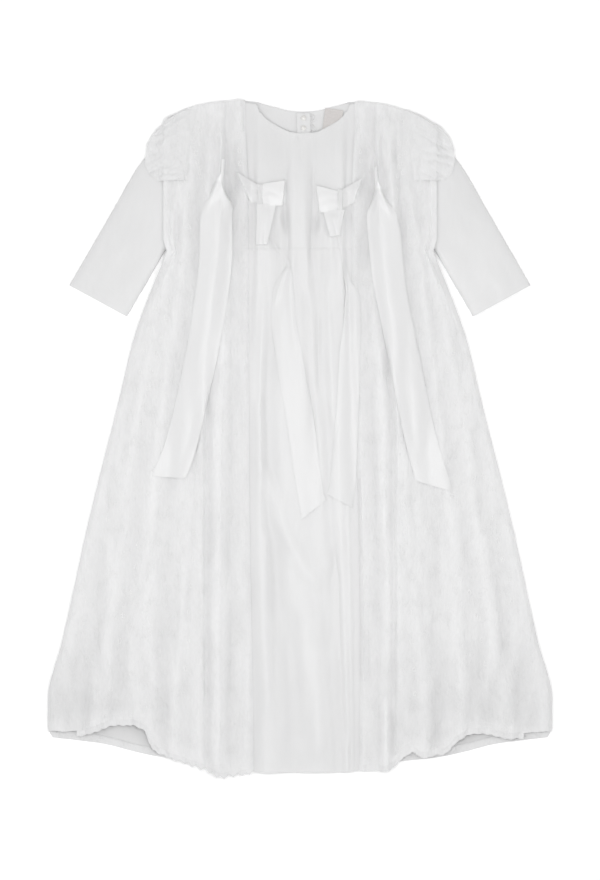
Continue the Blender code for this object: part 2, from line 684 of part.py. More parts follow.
def make_loop(side, which, look, collection):
    """A ribbon loop pressed nearly flat: out along the bottom, round its end and back on top."""
    *corners, height = BOWS[side][which]
    height *= MM
    near_a, near_b, far_a, far_b = ([v * MM for v in corner] for corner in corners)
    middle = [(fa + fb - na - nb) / 2 for na, nb, fa, fb in zip(near_a, near_b, far_a, far_b)]
    end_round = height / 2 / math.hypot(*middle)
    bottom = bow_floor(side) + (0.4 * MM if which != "lower" else 3.5 * MM)
    pinch = 1.2 * MM if which != "lower" else 0.0
    reach = 1 - end_round
    profile = [(reach * t, bottom + pinch * (1 - smooth(t))) for t in (0.0, 0.33, 0.7, 1.0)]
    for degrees in (-45, 0, 45):
        angle = math.radians(degrees)
        lift = height / 2 * (1 + math.sin(angle))
        profile.append((reach + end_round * math.cos(angle), bottom + lift))
    profile += [(reach * t, bottom + height - 0.8 * MM * (1 - smooth(t))) for t in (1.0, 0.7, 0.33, 0.0)]

    def place(i, j):
        t, z = profile[i]
        share = j / 4
        near = [mix(a, b, share) for a, b in zip(near_a, near_b)]
        far = [mix(a, b, share) for a, b in zip(far_a, far_b)]
        crown = 0.5 * MM * (1 - (2 * share - 1) ** 2)
        return mix(near[0], far[0], t), mix(near[1], far[1], t), z + crown

    obj = sheet(f"bow_{side}_{which}_loop", len(profile) - 1, 4, place, look, collection, RIBBON)
    obj.modifiers["wall"].offset = 0.0
    return obj


def make_band(side, look, collection):
    """The narrow band that holds a bow together."""
    x, y = (v * MM for v in BOWS[side]["band"])
    bm = bmesh.new()
    bmesh.ops.create_uvsphere(bm, u_segments=12, v_segments=8, radius=0.5)
    bmesh.ops.scale(bm, vec=BAND_SIZE, verts=bm.verts)
    centre = bow_floor(side) + 0.4 * MM + BAND_SIZE[2] / 2
    bmesh.ops.translate(bm, vec=(x, y, centre), verts=bm.verts)
    return finish_mesh(f"bow_{side}_knot", bm, look, collection)


def make_fastening(satin, pearl, thread, collection):
    """The closing strip inside the back neck, with its buttons and thread loops."""
    left, right, bottom, top = PLACKET
    outline = [(left, bottom), (right, bottom), (right, top), (left, top)]
    strip_z = SATIN_BACK_Z + LAYER
    flat_piece("back_placket", outline, strip_z, PLACKET_THICKNESS, satin, collection)
    seat = strip_z + PLACKET_THICKNESS + SEAM_GAP
    for number, y in enumerate(BUTTON_YS, 1):
        bm = bmesh.new()
        bmesh.ops.create_cone(
            bm,
            cap_ends=True,
            segments=16,
            radius1=BUTTON_RADIUS,
            radius2=0.62 * BUTTON_RADIUS,
            depth=BUTTON_HEIGHT,
        )
        bmesh.ops.translate(bm, vec=(BUTTON_X, y, seat + BUTTON_HEIGHT / 2), verts=bm.verts)
        finish_mesh(f"back_button_{number}", bm, pearl, collection)
        curve = bpy.data.curves.new(f"button_loop_{number}", "CURVE")
        curve.dimensions = "3D"
        curve.bevel_depth = 0.5 * MM
        curve.bevel_resolution = 1
        curve.use_fill_caps = True
        spline = curve.splines.new("POLY")
        turns = 8
        spline.points.add(turns)
        for k, point in enumerate(spline.points):
            angle = math.radians(-90 + 180 * k / turns)
            out = right + SEAM_GAP + 0.5 * MM + 3.6 * MM * math.cos(angle)
            point.co = (out, y + 3.4 * MM * math.sin(angle), SATIN_BACK_Z + LAYER + 0.6 * MM, 1.0)
        obj = bpy.data.objects.new(f"button_loop_{number}", curve)
        curve.materials.append(thread)
        collection.objects.link(obj)


def make_label(look, collection):
    bm = bmesh.new()
    bmesh.ops.create_cube(bm, size=1.0)
    bmesh.ops.scale(bm, vec=LABEL_SIZE, verts=bm.verts)
    obj = finish_mesh("neck_label", bm, look, collection, flat=True)
    obj.location = (*LABEL_CENTRE, SATIN_BACK_Z + LAYER + LABEL_SIZE[2] / 2)
    obj.rotation_euler.z = LABEL_TILT
    return obj


def main():
    clear_scene()
    collection = bpy.data.collections.new("christening_dress")
    bpy.context.scene.collection.children.link(collection)
    satin = material("satin", (0.80, 0.80, 0.80), 0.55, 0.2)
    lace = material("lace", (0.78, 0.78, 0.78), 0.8, 0.1)
    ribbon = material("ribbon", (0.86, 0.86, 0.86), 0.5, 0.2)
    pearl = material("pearl", (0.85, 0.84, 0.82), 0.25, 0.0)
    woven = material("woven_label", (0.70, 0.68, 0.66), 0.7, 0.0)
    make_backs(satin, lace, collection)
    make_fastening(satin, pearl, ribbon, collection)
    make_label(woven, collection)
    make_bodice_front(satin, collection)
    make_skirt_front(satin, collection)
    for side in SIDES:
        make_sleeve(side, satin, collection)
        make_lace_front(side, lace, collection)
        make_hem_edging(side, lace, collection)
        make_cap(side, lace, collection)
        for which in ("inner", "outer", "lower"):
            make_loop(side, which, ribbon, collection)
        make_band(side, ribbon, collection)
    for name in TAILS:
        make_tail(name, ribbon, collection)


main()
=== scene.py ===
import functools
import math
import random

import bmesh
import bpy
import numpy as np
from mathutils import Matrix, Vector, noise
from mathutils.bvhtree import BVHTree


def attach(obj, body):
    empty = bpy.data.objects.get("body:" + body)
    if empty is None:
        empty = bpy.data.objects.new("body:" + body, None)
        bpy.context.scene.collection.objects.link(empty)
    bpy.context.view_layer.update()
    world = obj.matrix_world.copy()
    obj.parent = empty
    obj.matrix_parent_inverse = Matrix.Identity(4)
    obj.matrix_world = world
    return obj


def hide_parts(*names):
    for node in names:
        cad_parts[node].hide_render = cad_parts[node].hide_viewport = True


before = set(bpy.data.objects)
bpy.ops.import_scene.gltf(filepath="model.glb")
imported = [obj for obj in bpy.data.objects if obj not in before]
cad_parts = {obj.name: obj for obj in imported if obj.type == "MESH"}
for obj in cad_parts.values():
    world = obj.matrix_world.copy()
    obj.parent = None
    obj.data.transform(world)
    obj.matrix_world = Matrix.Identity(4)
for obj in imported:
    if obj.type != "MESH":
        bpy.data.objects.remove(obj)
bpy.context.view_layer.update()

# Setting
# A baby's christening dress lies flat on a pale studio table and is seen from straight above.
# The camera looks down from far off, so that the cloth's height hardly changes its place.
MM = 0.001
VIEW_HEIGHT = 968 * MM
CAMERA_DISTANCE = 2.6
SENSOR = 36.0

camera = bpy.data.cameras.new("camera")
camera.sensor_width = SENSOR
camera.lens = SENSOR * CAMERA_DISTANCE / VIEW_HEIGHT
camera_object = bpy.data.objects.new("camera", camera)
camera_object.location = (0.0, 0.0, CAMERA_DISTANCE)
bpy.context.scene.collection.objects.link(camera_object)
bpy.context.scene.camera = camera_object

view = bpy.context.scene.view_settings
view.view_transform = "Standard"
view.look = "None"
view.exposure = 0.0
view.gamma = 1.0

world = bpy.data.worlds.new("studio")
bpy.context.scene.world = world
world.use_nodes = True
world.node_tree.nodes["Background"].inputs["Color"].default_value = (1.0, 1.0, 1.0, 1.0)
world.node_tree.nodes["Background"].inputs["Strength"].default_value = 0.54

# Soft boxes: name, place, power in watts, width
SOFT_BOXES = (
    ("top_light", (0.0, -0.03, 1.25), 6.6, 0.5),
    ("left_light", (-3.0, 0.5, 2.4), 19.5, 1.4),
    ("right_light", (3.0, 0.3, 2.4), 14.0, 1.4),
    ("foot_light", (0.2, -2.0, 1.7), 2.0, 1.2),
)
for name, place, power, width in SOFT_BOXES:
    lamp = bpy.data.lights.new(name, "AREA")
    lamp.energy = power
    lamp.size = width
    lamp_object = bpy.data.objects.new(name, lamp)
    lamp_object.location = place
    lamp_object.rotation_euler = (-Vector(place)).to_track_quat("-Z", "Y").to_euler()
    lamp_object.visible_camera = False
    bpy.context.scene.collection.objects.link(lamp_object)


# Cloths
# Satin, crinkled lace, ribbon satin, pearl, thread and a woven label: each is a procedural finish
# worked out from the object's own millimetres or from the sheet's own width and length.
class Finish:
    """A Principled material and short ways to add nodes to it."""

    def __init__(self, name, colour, roughness, sheen=0.0):
        self.material = bpy.data.materials.new(name)
        self.material.use_nodes = True
        self.material.diffuse_color = (*colour, 1.0)
        self.nodes = self.material.node_tree.nodes
        self.shader = self.nodes["Principled BSDF"]
        self.shader.inputs["Base Color"].default_value = (*colour, 1.0)
        self.shader.inputs["Roughness"].default_value = roughness
        self.shader.inputs["Sheen Weight"].default_value = sheen
        self.colour = colour

    def link(self, source, target):
        self.material.node_tree.links.new(source, target)

    def add(self, kind, values=None, **settings):
        node = self.nodes.new(kind)
        for key, value in settings.items():
            setattr(node, key, value)
        for key, value in (values or {}).items():
            if isinstance(value, bpy.types.NodeSocket):
                self.link(value, node.inputs[key])
            else:
                node.inputs[key].default_value = value
        return node

    def coordinates(self, scale, output="Object"):
        """Coordinates of the object, or of the sheet, with a scale for each axis."""
        source = self.add("ShaderNodeTexCoord").outputs[output]
        return self.add("ShaderNodeMapping", {"Vector": source, "Scale": scale}).outputs[0]

    def noise(self, scale, detail=2.0, roughness=0.5, output="Object", distortion=0.0):
        values = {
            "Vector": self.coordinates(scale, output),
            "Scale": 1.0,
            "Detail": detail,
            "Roughness": roughness,
            "Distortion": distortion,
        }
        return self.add("ShaderNodeTexNoise", values).outputs["Fac"]

    def cells(self, scale, feature, **values):
        """Distances in a pattern of cells."""
        values = {"Vector": self.coordinates(scale), "Scale": 1.0, **values}
        return self.add("ShaderNodeTexVoronoi", values, feature=feature).outputs["Distance"]

    def math(self, operation, a, b=0.5):
        return self.add("ShaderNodeMath", {0: a, 1: b}, operation=operation).outputs[0]

    def plus(self, a, b):
        return self.math("ADD", a, b)

    def minus(self, a, b):
        return self.math("SUBTRACT", a, b)

    def times(self, a, b):
        return self.math("MULTIPLY", a, b)

    def ramp(self, value, low, high, start=0.0, end=1.0):
        values = {"Value": value, "From Min": low, "From Max": high, "To Min": start, "To Max": end}
        return self.add("ShaderNodeMapRange", values).outputs[0]

    def painted_fold_shade(self, depth):
        """Painted shade, darker in the folds' hollows, and a painted highlight, lighter on their ridges, read from
        each point's hollow depth.
        """
        hollow = self.add("ShaderNodeAttribute", attribute_name="hollow").outputs["Fac"]
        ridge, deepest = -1.5, 6.0
        return self.ramp(hollow, ridge, deepest, 1 - ridge * depth, 1 - deepest * depth)

    def shade(self, amount):
        """Multiplies the base colour by an amount around 1."""
        grey = self.add("ShaderNodeCombineColor", {"Red": amount, "Green": amount, "Blue": amount})
        mixed = self.add(
            "ShaderNodeMix", {"Factor": 1.0}, data_type="RGBA", blend_type="MULTIPLY", clamp_result=True
        )
        mixed.inputs[6].default_value = (*self.colour, 1.0)
        self.link(grey.outputs[0], mixed.inputs[7])
        self.link(mixed.outputs[2], self.shader.inputs["Base Color"])

    def bump(self, *layers):
        """Relief: (height, depth in metres) for each layer, the finest last."""
        normal = None
        for height, depth in layers:
            values = {"Height": height, "Distance": depth, "Strength": 1.0}
            if normal is not None:
                values["Normal"] = normal
            normal = self.add("ShaderNodeBump", values).outputs[0]
        self.link(normal, self.shader.inputs["Normal"])


def make_satin(name, white):
    finish = Finish(name, (white, white, white + 0.002), 0.52, 0.15)
    soft = finish.noise((16, 9, 16), 3.0)
    thread_across = finish.noise((5200, 500, 500), 1.0)
    thread_down = finish.noise((600, 4200, 500), 1.0)
    ripple = finish.noise((95, 26, 95), 3.0, distortion=0.6)
    mottle = finish.noise((30, 14, 30), 4.0)
    tone = finish.plus(
        finish.ramp(mottle, 0.25, 0.75, 0.975, 1.02), finish.ramp(thread_across, 0.3, 0.7, -0.012, 0.012)
    )
    finish.shade(finish.times(tone, finish.painted_fold_shade(0.017)))
    weave = finish.plus(thread_across, thread_down)
    finish.bump((soft, 3.2 * MM), (ripple, 0.45 * MM), (weave, 0.012 * MM))
    return finish.material


def make_lace():
    finish = Finish("lace_cloth", (0.742, 0.742, 0.745), 0.75, 0.25)
    warp = finish.noise((30, 18, 30), 3.0)
    net = finish.cells((700, 560, 560), "DISTANCE_TO_EDGE")
    motif = finish.cells((105, 62, 62), "SMOOTH_F1", Randomness=0.8)
    petals = finish.noise((330, 210, 210), 3.0, 0.6, distortion=1.4)
    crinkle = finish.noise((120, 34, 90), 4.0, 0.6, distortion=0.8)
    fine = finish.noise((420, 150, 300), 3.0, 0.6, distortion=0.5)
    solid = finish.ramp(finish.minus(finish.plus(petals, 0.12), motif), -0.05, 0.12)
    holes = finish.times(finish.ramp(net, 0.02, 0.3), finish.minus(1.0, solid))
    tone = finish.minus(1.018, finish.times(holes, 0.052))
    tone = finish.times(tone, finish.ramp(fine, 0.3, 0.7, 0.975, 1.02))
    tone = finish.times(tone, finish.ramp(warp, 0.25, 0.75, 0.98, 1.02))
    finish.shade(finish.times(tone, finish.painted_fold_shade(0.029)))
    finish.bump((crinkle, 1.15 * MM), (fine, 0.18 * MM), (solid, 0.10 * MM), (holes, -0.07 * MM))
    return finish.material


def make_ribbon(name, white, top_highlight=0.0):
    finish = Finish(name, (white, white, white + 0.002), 0.42, 0.1)
    rib = finish.noise((240, 3.0, 1.0), 2.0, output="UV")
    wave = finish.noise((38, 22, 38), 2.0)
    across, along, _ = finish.add("ShaderNodeSeparateXYZ", {0: finish.coordinates((1, 1, 1), "UV")}).outputs
    from_edge = finish.math("ABSOLUTE", finish.minus(across, 0.5))
    selvedge = finish.ramp(from_edge, 0.455, 0.475, 0.0, 1.0)
    # Painted highlight: a lighter band at the top of a tail where it comes from the slit, and a little lighter over
    # its upper half
    slit_highlight = finish.ramp(along, 0.925, 0.935, 0.0, top_highlight)
    painted_highlight = finish.plus(slit_highlight, finish.ramp(along, 0.45, 0.85, 0.0, 0.3 * top_highlight))
    tone = finish.plus(finish.ramp(rib, 0.3, 0.7, 0.985, 1.012), finish.times(selvedge, -0.012))
    finish.shade(finish.plus(tone, painted_highlight))
    finish.bump((wave, 1.0 * MM), (rib, 0.03 * MM), (selvedge, 0.06 * MM))
    return finish.material


def make_thread():
    finish = Finish("embroidery_thread", (0.80, 0.80, 0.80), 0.45, 0.2)
    twist = finish.noise((1800, 1800, 1800), 2.0)
    finish.shade(finish.ramp(twist, 0.3, 0.7, 0.95, 1.03))
    finish.bump((twist, 0.08 * MM))
    return finish.material


def make_pearl():
    finish = Finish("pearl_button", (0.80, 0.79, 0.77), 0.18)
    cloud = finish.noise((300, 300, 300), 2.0)
    finish.shader.inputs["Coat Weight"].default_value = 0.6
    finish.shader.inputs["Coat Roughness"].default_value = 0.08
    finish.shade(finish.ramp(cloud, 0.3, 0.7, 0.94, 1.04))
    return finish.material


def make_label():
    finish = Finish("woven_label_cloth", (0.628, 0.602, 0.590), 0.7, 0.1)
    warp = finish.noise((2600, 260, 260), 2.0)
    weft = finish.noise((260, 2200, 260), 2.0)
    weave = finish.plus(warp, weft)
    finish.shade(finish.ramp(weave, 0.7, 1.3, 0.92, 1.06))
    finish.bump((weave, 0.05 * MM))
    return finish.material


def make_table():
    finish = Finish("table_white", (0.97, 0.97, 0.97), 0.9)
    finish.shader.inputs["Emission Color"].default_value = (1.0, 1.0, 1.0, 1.0)
    finish.shader.inputs["Emission Strength"].default_value = 0.12
    grain = finish.noise((60, 60, 60), 3.0)
    finish.shade(finish.ramp(grain, 0.3, 0.7, 0.998, 1.002))
    return finish.material


SATIN = make_satin("satin_cloth", 0.730)
# A copy of the satin painted darker: painted shade for the back skirt seen under the lifted hem
SATIN_PAINTED_SHADE = make_satin("satin_inside_painted_shade", 0.685)
LACE = make_lace()
RIBBON = make_ribbon("ribbon_satin", 0.724)
# Outer tails: the ribbon painted lighter, with a painted highlight near the slit
RIBBON_SLIT_PAINTED_HIGHLIGHT = make_ribbon("ribbon_from_slit_painted_highlight", 0.737, 0.16)
# Outer and lower loops: the ribbon painted lighter than the tails, as painted light
RIBBON_LOOPS_PAINTED_LIGHT = make_ribbon("ribbon_loops", 0.758)
# Inner loops: the ribbon painted brighter still, as a painted highlight
RIBBON_PAINTED_HIGHLIGHT = make_ribbon("ribbon_shiny_side", 0.795)
THREAD = make_thread()
PEARL = make_pearl()
LABEL = make_label()

bm = bmesh.new()
bmesh.ops.create_grid(bm, x_segments=1, y_segments=1, size=3.0)
mesh = bpy.data.meshes.new("table")
bm.to_mesh(mesh)
bm.free()
mesh.materials.append(make_table())
table = bpy.data.objects.new("table", mesh)
bpy.context.scene.collection.objects.link(table)

# Layers and outlines
# The dress lies in four layers: lace back, satin back, satin front and the two lace fronts.
# The tables give its edges and its folds in millimetres, as in the solid model.
CLOTH = 1.4 * MM
SEAM_GAP = 0.3 * MM
LAYER = CLOTH + SEAM_GAP
SATIN_WALL = 0.5 * MM
LACE_WALL = 0.35 * MM
RIBBON_WALL = 0.36 * MM
TRIM_WALL = 0.5 * MM
SATIN_INSET = 7.5 * MM
CREASE_EASE = 22 * MM
SHARP_ANGLE = math.radians(55)
SATIN_BACK_Z = LAYER
SATIN_FRONT_Z = 2 * LAYER
LACE_FRONT_Z = 3 * LAYER
WAIST_Y = 211 * MM
UNDERARM_Y = 208 * MM
ARMHOLE_X = 143 * MM
NECK_CENTRE_X = 3.5 * MM
SIDES = {"left": -1, "right": 1}

SIDE_LINE = (
    (-327, 272), (-317, 277), (-286, 277), (-220, 261), (-88, 232), (44, 199), (110, 183),
    (176, 159), (187, 154.3), (196, 150.6), (203, 147.8), (208, 146),
)
SHOULDER_LINE = {
    "left": (
        (48, 372), (66, 373.5), (80, 372), (111, 367.4), (125, 363), (135, 358.6), (145, 354), (150, 349),
    ),
    "right": (
        (55, 372), (70, 371.5), (84, 369.5), (96, 367.4), (111, 363), (123, 358.6), (133, 354), (146, 345.5),
    ),
}
FRONT_NECK = ((0, 336.6), (14, 338), (24, 342.5), (33, 347.5), (41, 353), (47, 361), (51, 371))
BACK_NECK = ((0, 360.5), (14, 361.5), (28, 365), (40, 368), (51, 371.5))
LACE_BACK_HEM = (
    (0, -358), (60, -357), (97, -355), (115, -353), (151, -349), (180, -343), (216, -334), (246, -330), (272, -327),
)
LACE_FRONT_HEM = {
    "left": (
        (50, -359), (70, -363), (86, -364), (98, -359), (115, -352), (151, -340), (163, -331), (172, -311),
        (190, -306), (208, -307), (225, -313), (246, -319), (272, -320),
    ),
    "right": (
        (55, -357), (92, -356.5), (102, -352), (114, -342), (124, -336), (134, -342), (160, -337), (175, -322),
        (195, -315), (215, -318), (230, -321), (250, -321), (272, -320),
    ),
}
SATIN_HEM = (
    (0, -365), (50, -364.5), (66, -363), (84, -352), (110, -344), (150, -329), (175, -304), (210, -300),
    (240, -307), (270, -309),
)
# Heights down the dress at which the fold tables are given
SHOULDER_Y, CHEST_Y, MIDDLE_Y, HEM_Y = 345 * MM, 255 * MM, 0.0, -330 * MM


def curve_at(rows, at, column=1):
    """A smooth curve through a table whose first column rises; level past its ends, all in mm."""
    xs = np.array([row[0] for row in rows], float)
    ys = np.array([row[column] for row in rows], float)
    step = np.diff(xs)
    rise = np.diff(ys) / step
    product = rise[:-1] * rise[1:]
    total = rise[:-1] + rise[1:]
    inner = np.where(product > 0, 2 * product / np.where(product > 0, total, 1.0), 0.0)
    slopes = np.concatenate([[rise[0]], inner, [rise[-1]]])
    at = np.clip(np.asarray(at, float), xs[0], xs[-1])
    i = np.clip(np.searchsorted(xs, at, side="left") - 1, 0, len(step) - 1)
    t = (at - xs[i]) / step[i]
    return (
        ys[i] * (2 * t**3 - 3 * t**2 + 1)
        + slopes[i] * step[i] * (t**3 - 2 * t**2 + t)
        + ys[i + 1] * (3 * t**2 - 2 * t**3)
        + slopes[i + 1] * step[i] * (t**3 - t**2)
    )


def in_mm(rows, at, column=1):
    """The same for a table in millimetres, asked and answered in metres."""
    return curve_at(rows, np.asarray(at) / MM, column) * MM


def smooth(t):
    t = np.clip(t, 0.0, 1.0)
    return t * t * (3 - 2 * t)


def mix(a, b, t):
    return a + (b - a) * t


def bell(distance, half_width):
    return np.exp(-((distance / half_width) ** 2))


def side_line(y):
    above = mix(147 * MM, 150 * MM, smooth((y - UNDERARM_Y) / (14 * MM)))
    return np.where(y > UNDERARM_Y, above, in_mm(SIDE_LINE, y))


def fold_lines(table):
    """Each fold line's place and lift over height, in metres."""
    levels = [y / MM for y in (HEM_Y, MIDDLE_Y, CHEST_Y, SHOULDER_Y)]
    lines = []
    for _, *numbers in table:
        places = tuple(zip(levels, reversed(numbers[:4])))
        lifts = tuple(zip(levels, reversed(numbers[4:])))
        lines.append((places, lifts))
    return lines


def streaks(x, y, across, down, seed):
    """Smooth random relief from -1 to 1, with its own length across and down."""
    flat = [
        noise.noise(Vector((a / across, b / down, seed)))
        for a, b in zip(np.ravel(x), np.ravel(y))
    ]
    return np.array(flat).reshape(np.shape(x))


def creases(x, y, table):
    """Lift from single folds: start, middle and end of each line, half width and height."""
    lift = np.zeros_like(x)
    for (ax, ay), (bx, by), (cx, cy), half, height in table:
        ys = np.array([cy, by, ay], float) * MM
        line = np.interp(y, ys, np.array([cx, bx, ax], float) * MM)
        along = smooth((y - ys[0] + CREASE_EASE / 2) / CREASE_EASE)
        along = along * smooth((ys[2] + CREASE_EASE / 2 - y) / CREASE_EASE)
        lift += height * MM * along * bell(x - line, half * MM)
    return lift


def new_piece(name, bm, look):
    """An object of the dress from a bmesh: soft all over, but crisp where it turns over a cut edge."""
    mesh = bpy.data.meshes.new(name)
    bm.to_mesh(mesh)
    bm.free()
    mesh.shade_smooth()
    mesh.set_sharp_from_angle(angle=SHARP_ANGLE)
    mesh.materials.append(look)
    obj = bpy.data.objects.new(name, mesh)
    bpy.context.scene.collection.objects.link(obj)
    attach(obj, "root")
    return obj


def face_up(bm):
    bmesh.ops.recalc_face_normals(bm, faces=bm.faces)
    if sum(face.normal.z for face in bm.faces) < 0:
        bmesh.ops.reverse_faces(bm, faces=bm.faces)


def add_wall(bm, wall):
    """Gives an open sheet its thickness, which lies under its faces."""
    made = bmesh.ops.extrude_face_region(bm, geom=bm.faces[:], use_keep_orig=True)["geom"]
    under = [part for part in made if isinstance(part, bmesh.types.BMVert)]
    bm.normal_update()
    steps = [vert.normal * wall for vert in under]
    for vert, step in zip(under, steps):
        vert.co -= step
    bmesh.ops.recalc_face_normals(bm, faces=bm.faces)


def around(z, rows, columns, pick):
    """Each point's highest or mean neighbour within some rows and columns."""
    padded = np.pad(z, ((rows, rows), (columns, columns)), mode="reflect")
    windows = np.lib.stride_tricks.sliding_window_view(padded, (2 * rows + 1, 2 * columns + 1))
    return pick(windows, axis=(2, 3))


def grid_piece(name, points, look, wall):
    """A sheet through an array of points (rows, columns, 3), top row first, with its wall under it."""
    rows, columns = points.shape[:2]
    bm = bmesh.new()
    bm.loops.layers.uv.new("sheet")
    bmesh.ops.create_grid(bm, x_segments=columns - 1, y_segments=rows - 1, size=0.5, calc_uvs=True)
    for vert in bm.verts:
        i = round((vert.co.x + 0.5) * (columns - 1))
        j = round((0.5 - vert.co.y) * (rows - 1))
        vert.co = points[j, i]
    face_up(bm)
    add_wall(bm, wall)
    return new_piece(name, bm, look)


# Lace back
# The back of the over-dress is one lace panel. It lies flat on the table under everything else,
# and shows only past the lifted front hem, at the sides and behind the neck.
def shoulder_y(side, out):
    return in_mm(SHOULDER_LINE[side], out)


def back_neck_y(x):
    return in_mm(BACK_NECK, np.abs(x - NECK_CENTRE_X))


def filled_sheet(name, outline, bottom, wall, look, relief, spacing=9 * MM):
    """A flat cut piece: its outline filled with a grid of points, then given a little relief.
    The relief is its height in mm, its waves to a metre across and down, and a seed."""
    xs = [p[0] for p in outline]
    ys = [p[1] for p in outline]
    bm = bmesh.new()
    uv = bm.loops.layers.uv.new("sheet")
    ring = [bm.verts.new((x, y, 0.0)) for x, y in outline]
    bm.faces.new(ring)
    for axis, low, high in ((0, min(xs), max(xs)), (1, min(ys), max(ys))):
        count = int((high - low) / spacing)
        for k in range(1, count):
            at = [0.0, 0.0, 0.0]
            at[axis] = low + (high - low) * k / count
            normal = [0.0, 0.0, 0.0]
            normal[axis] = 1.0
            geometry = bm.verts[:] + bm.edges[:] + bm.faces[:]
            bmesh.ops.bisect_plane(bm, geom=geometry, plane_co=at, plane_no=normal)
    height, across, down, seed = relief
    for vert in bm.verts:
        wave = noise.noise(Vector((vert.co.x * across, vert.co.y * down, seed)))
        vert.co.z = bottom + wall + height * MM * (0.5 + 0.5 * wave)
    for face in bm.faces:
        for loop in face.loops:
            loop[uv].uv = (loop.vert.co.x, loop.vert.co.y)
    face_up(bm)
    bmesh.ops.solidify(bm, geom=bm.faces[:], thickness=wall)
    return new_piece(name, bm, look)


def half_outline(side, top, hem_lift, inset, count=60):
    """Side and hem of a back piece, from the underarm to the middle of the hem."""
    sign = SIDES[side]
    side_ys = np.linspace(top, -322 * MM, count)
    points = [(sign * float(side_line(y) - inset), float(y)) for y in side_ys]
    outs = np.linspace(272 * MM - inset, 0.0, 70)
    return points + [(sign * float(x), float(in_mm(LACE_BACK_HEM, x)) + hem_lift) for x in outs]


def shoulder_outline(side, start, inset, count=14):
    end = abs(NECK_CENTRE_X + SIDES[side] * 50 * MM)
    xs = np.linspace(start, end, count)
    return [(SIDES[side] * float(x), float(shoulder_y(side, x)) - inset) for x in xs]


def neck_outline(start, end, count=16):
    return [(float(x), float(back_neck_y(x))) for x in np.linspace(start, end, count)]


armhole = ARMHOLE_X - SEAM_GAP
neck_left, neck_right = NECK_CENTRE_X - 50 * MM, NECK_CENTRE_X + 50 * MM
left_half, right_half = (half_outline(side, 207.6 * MM, 0.0, 0.0) for side in SIDES)
outline = (
    [(-armhole, UNDERARM_Y + 2.5 * MM)] + shoulder_outline("left", armhole, 0.0)
    + neck_outline(neck_left, neck_right)[1:-1] + shoulder_outline("right", armhole, 0.0)[::-1]
    + [(armhole, UNDERARM_Y + 2.5 * MM)] + right_half + left_half[:-1][::-1]
)
lace_back = filled_sheet(
    "lace_back_cloth", outline, 0.15 * MM, LACE_WALL, LACE, relief=(0.35, 60, 15, 3.0)
)
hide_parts("lace_back")

# Satin back
# The plain gown's back: two bodice halves that meet at the buttoned opening, and a skirt sewn to
# them at the high waist. Only the strip behind the neck and the lifted hem show it.
skirt_top = WAIST_Y - SEAM_GAP / 2
left_half, right_half = (half_outline(side, 200 * MM, 9 * MM, SATIN_INSET) for side in SIDES)
corner = float(side_line(UNDERARM_Y)) - SATIN_INSET
outline = [(corner, skirt_top)] + right_half + left_half[:-1][::-1] + [(-corner, skirt_top)]
# The back skirt's satin is painted darker, as painted shade under the lifted hem
skirt_back = filled_sheet(
    "skirt_back_satin", outline, SATIN_BACK_Z + 0.1 * MM, SATIN_WALL, SATIN_PAINTED_SHADE,
    relief=(0.3, 40, 10, 8.0),
)
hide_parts("skirt_back")

for side, sign in SIDES.items():
    middle = NECK_CENTRE_X + sign * SEAM_GAP / 2
    neck_end = neck_left if side == "left" else neck_right
    outline = (
        [(sign * armhole, WAIST_Y + SEAM_GAP / 2)] + shoulder_outline(side, armhole, 3 * MM)
        + neck_outline(neck_end, middle)[1:] + [(middle, WAIST_Y + SEAM_GAP / 2)]
    )
    piece = filled_sheet(
        f"bodice_back_{side}_satin", outline, SATIN_BACK_Z + 0.2 * MM, SATIN_WALL, SATIN,
        relief=(0.4, 45, 30, 5.0), spacing=6 * MM,
    )
    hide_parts(f"bodice_back_{side}")

# Satin front
# The gown's front is a bodice and a long skirt, gathered lightly into the high waist seam. Its
# middle stands up in soft ridges between the lace fronts, and it lies flat beneath them.
SATIN_FOLDS = (
    ("left underlay",  -60.0, -60.0, -66.0, -62.0,   0.0, 0.0, 0.0, 0.0),
    ("left step",      -52.0, -51.5, -58.0, -53.0,   0.2, 0.2, 0.0, 0.2),
    ("left ridge",     -44.0, -45.0, -45.0, -38.0,   1.6, 4.6, 5.4, 6.4),
    ("long hollow",    -30.0, -30.0, -36.0,  -4.0,   1.8, 3.8, 0.6, 0.8),
    ("sweeping ridge", -16.0, -16.0, -20.0,  22.0,   2.0, 4.2, 4.2, 3.4),
    ("middle ridge",    -8.0,  -8.0,   2.0,  34.0,   2.0, 7.0, 3.0, 2.4),
    ("middle crest",     4.0,   4.0,  18.0,  40.0,   2.0, 7.0, 2.6, 1.6),
    ("right hollow",    14.0,  14.0,  30.0,  45.0,   2.0, 4.0, 1.2, 1.2),
    ("right ridge",     32.0,  32.0,  42.0,  52.0,   1.8, 4.6, 3.0, 3.2),
    ("right fall",      46.0,  45.0,  51.0,  57.0,   1.6, 4.4, 1.6, 1.6),
    ("right step",      53.0,  51.5,  55.5,  61.5,   0.2, 0.2, 0.0, 0.2),
    ("right underlay",  62.0,  60.0,  64.0,  72.0,   0.0, 0.0, 0.0, 0.0),
)
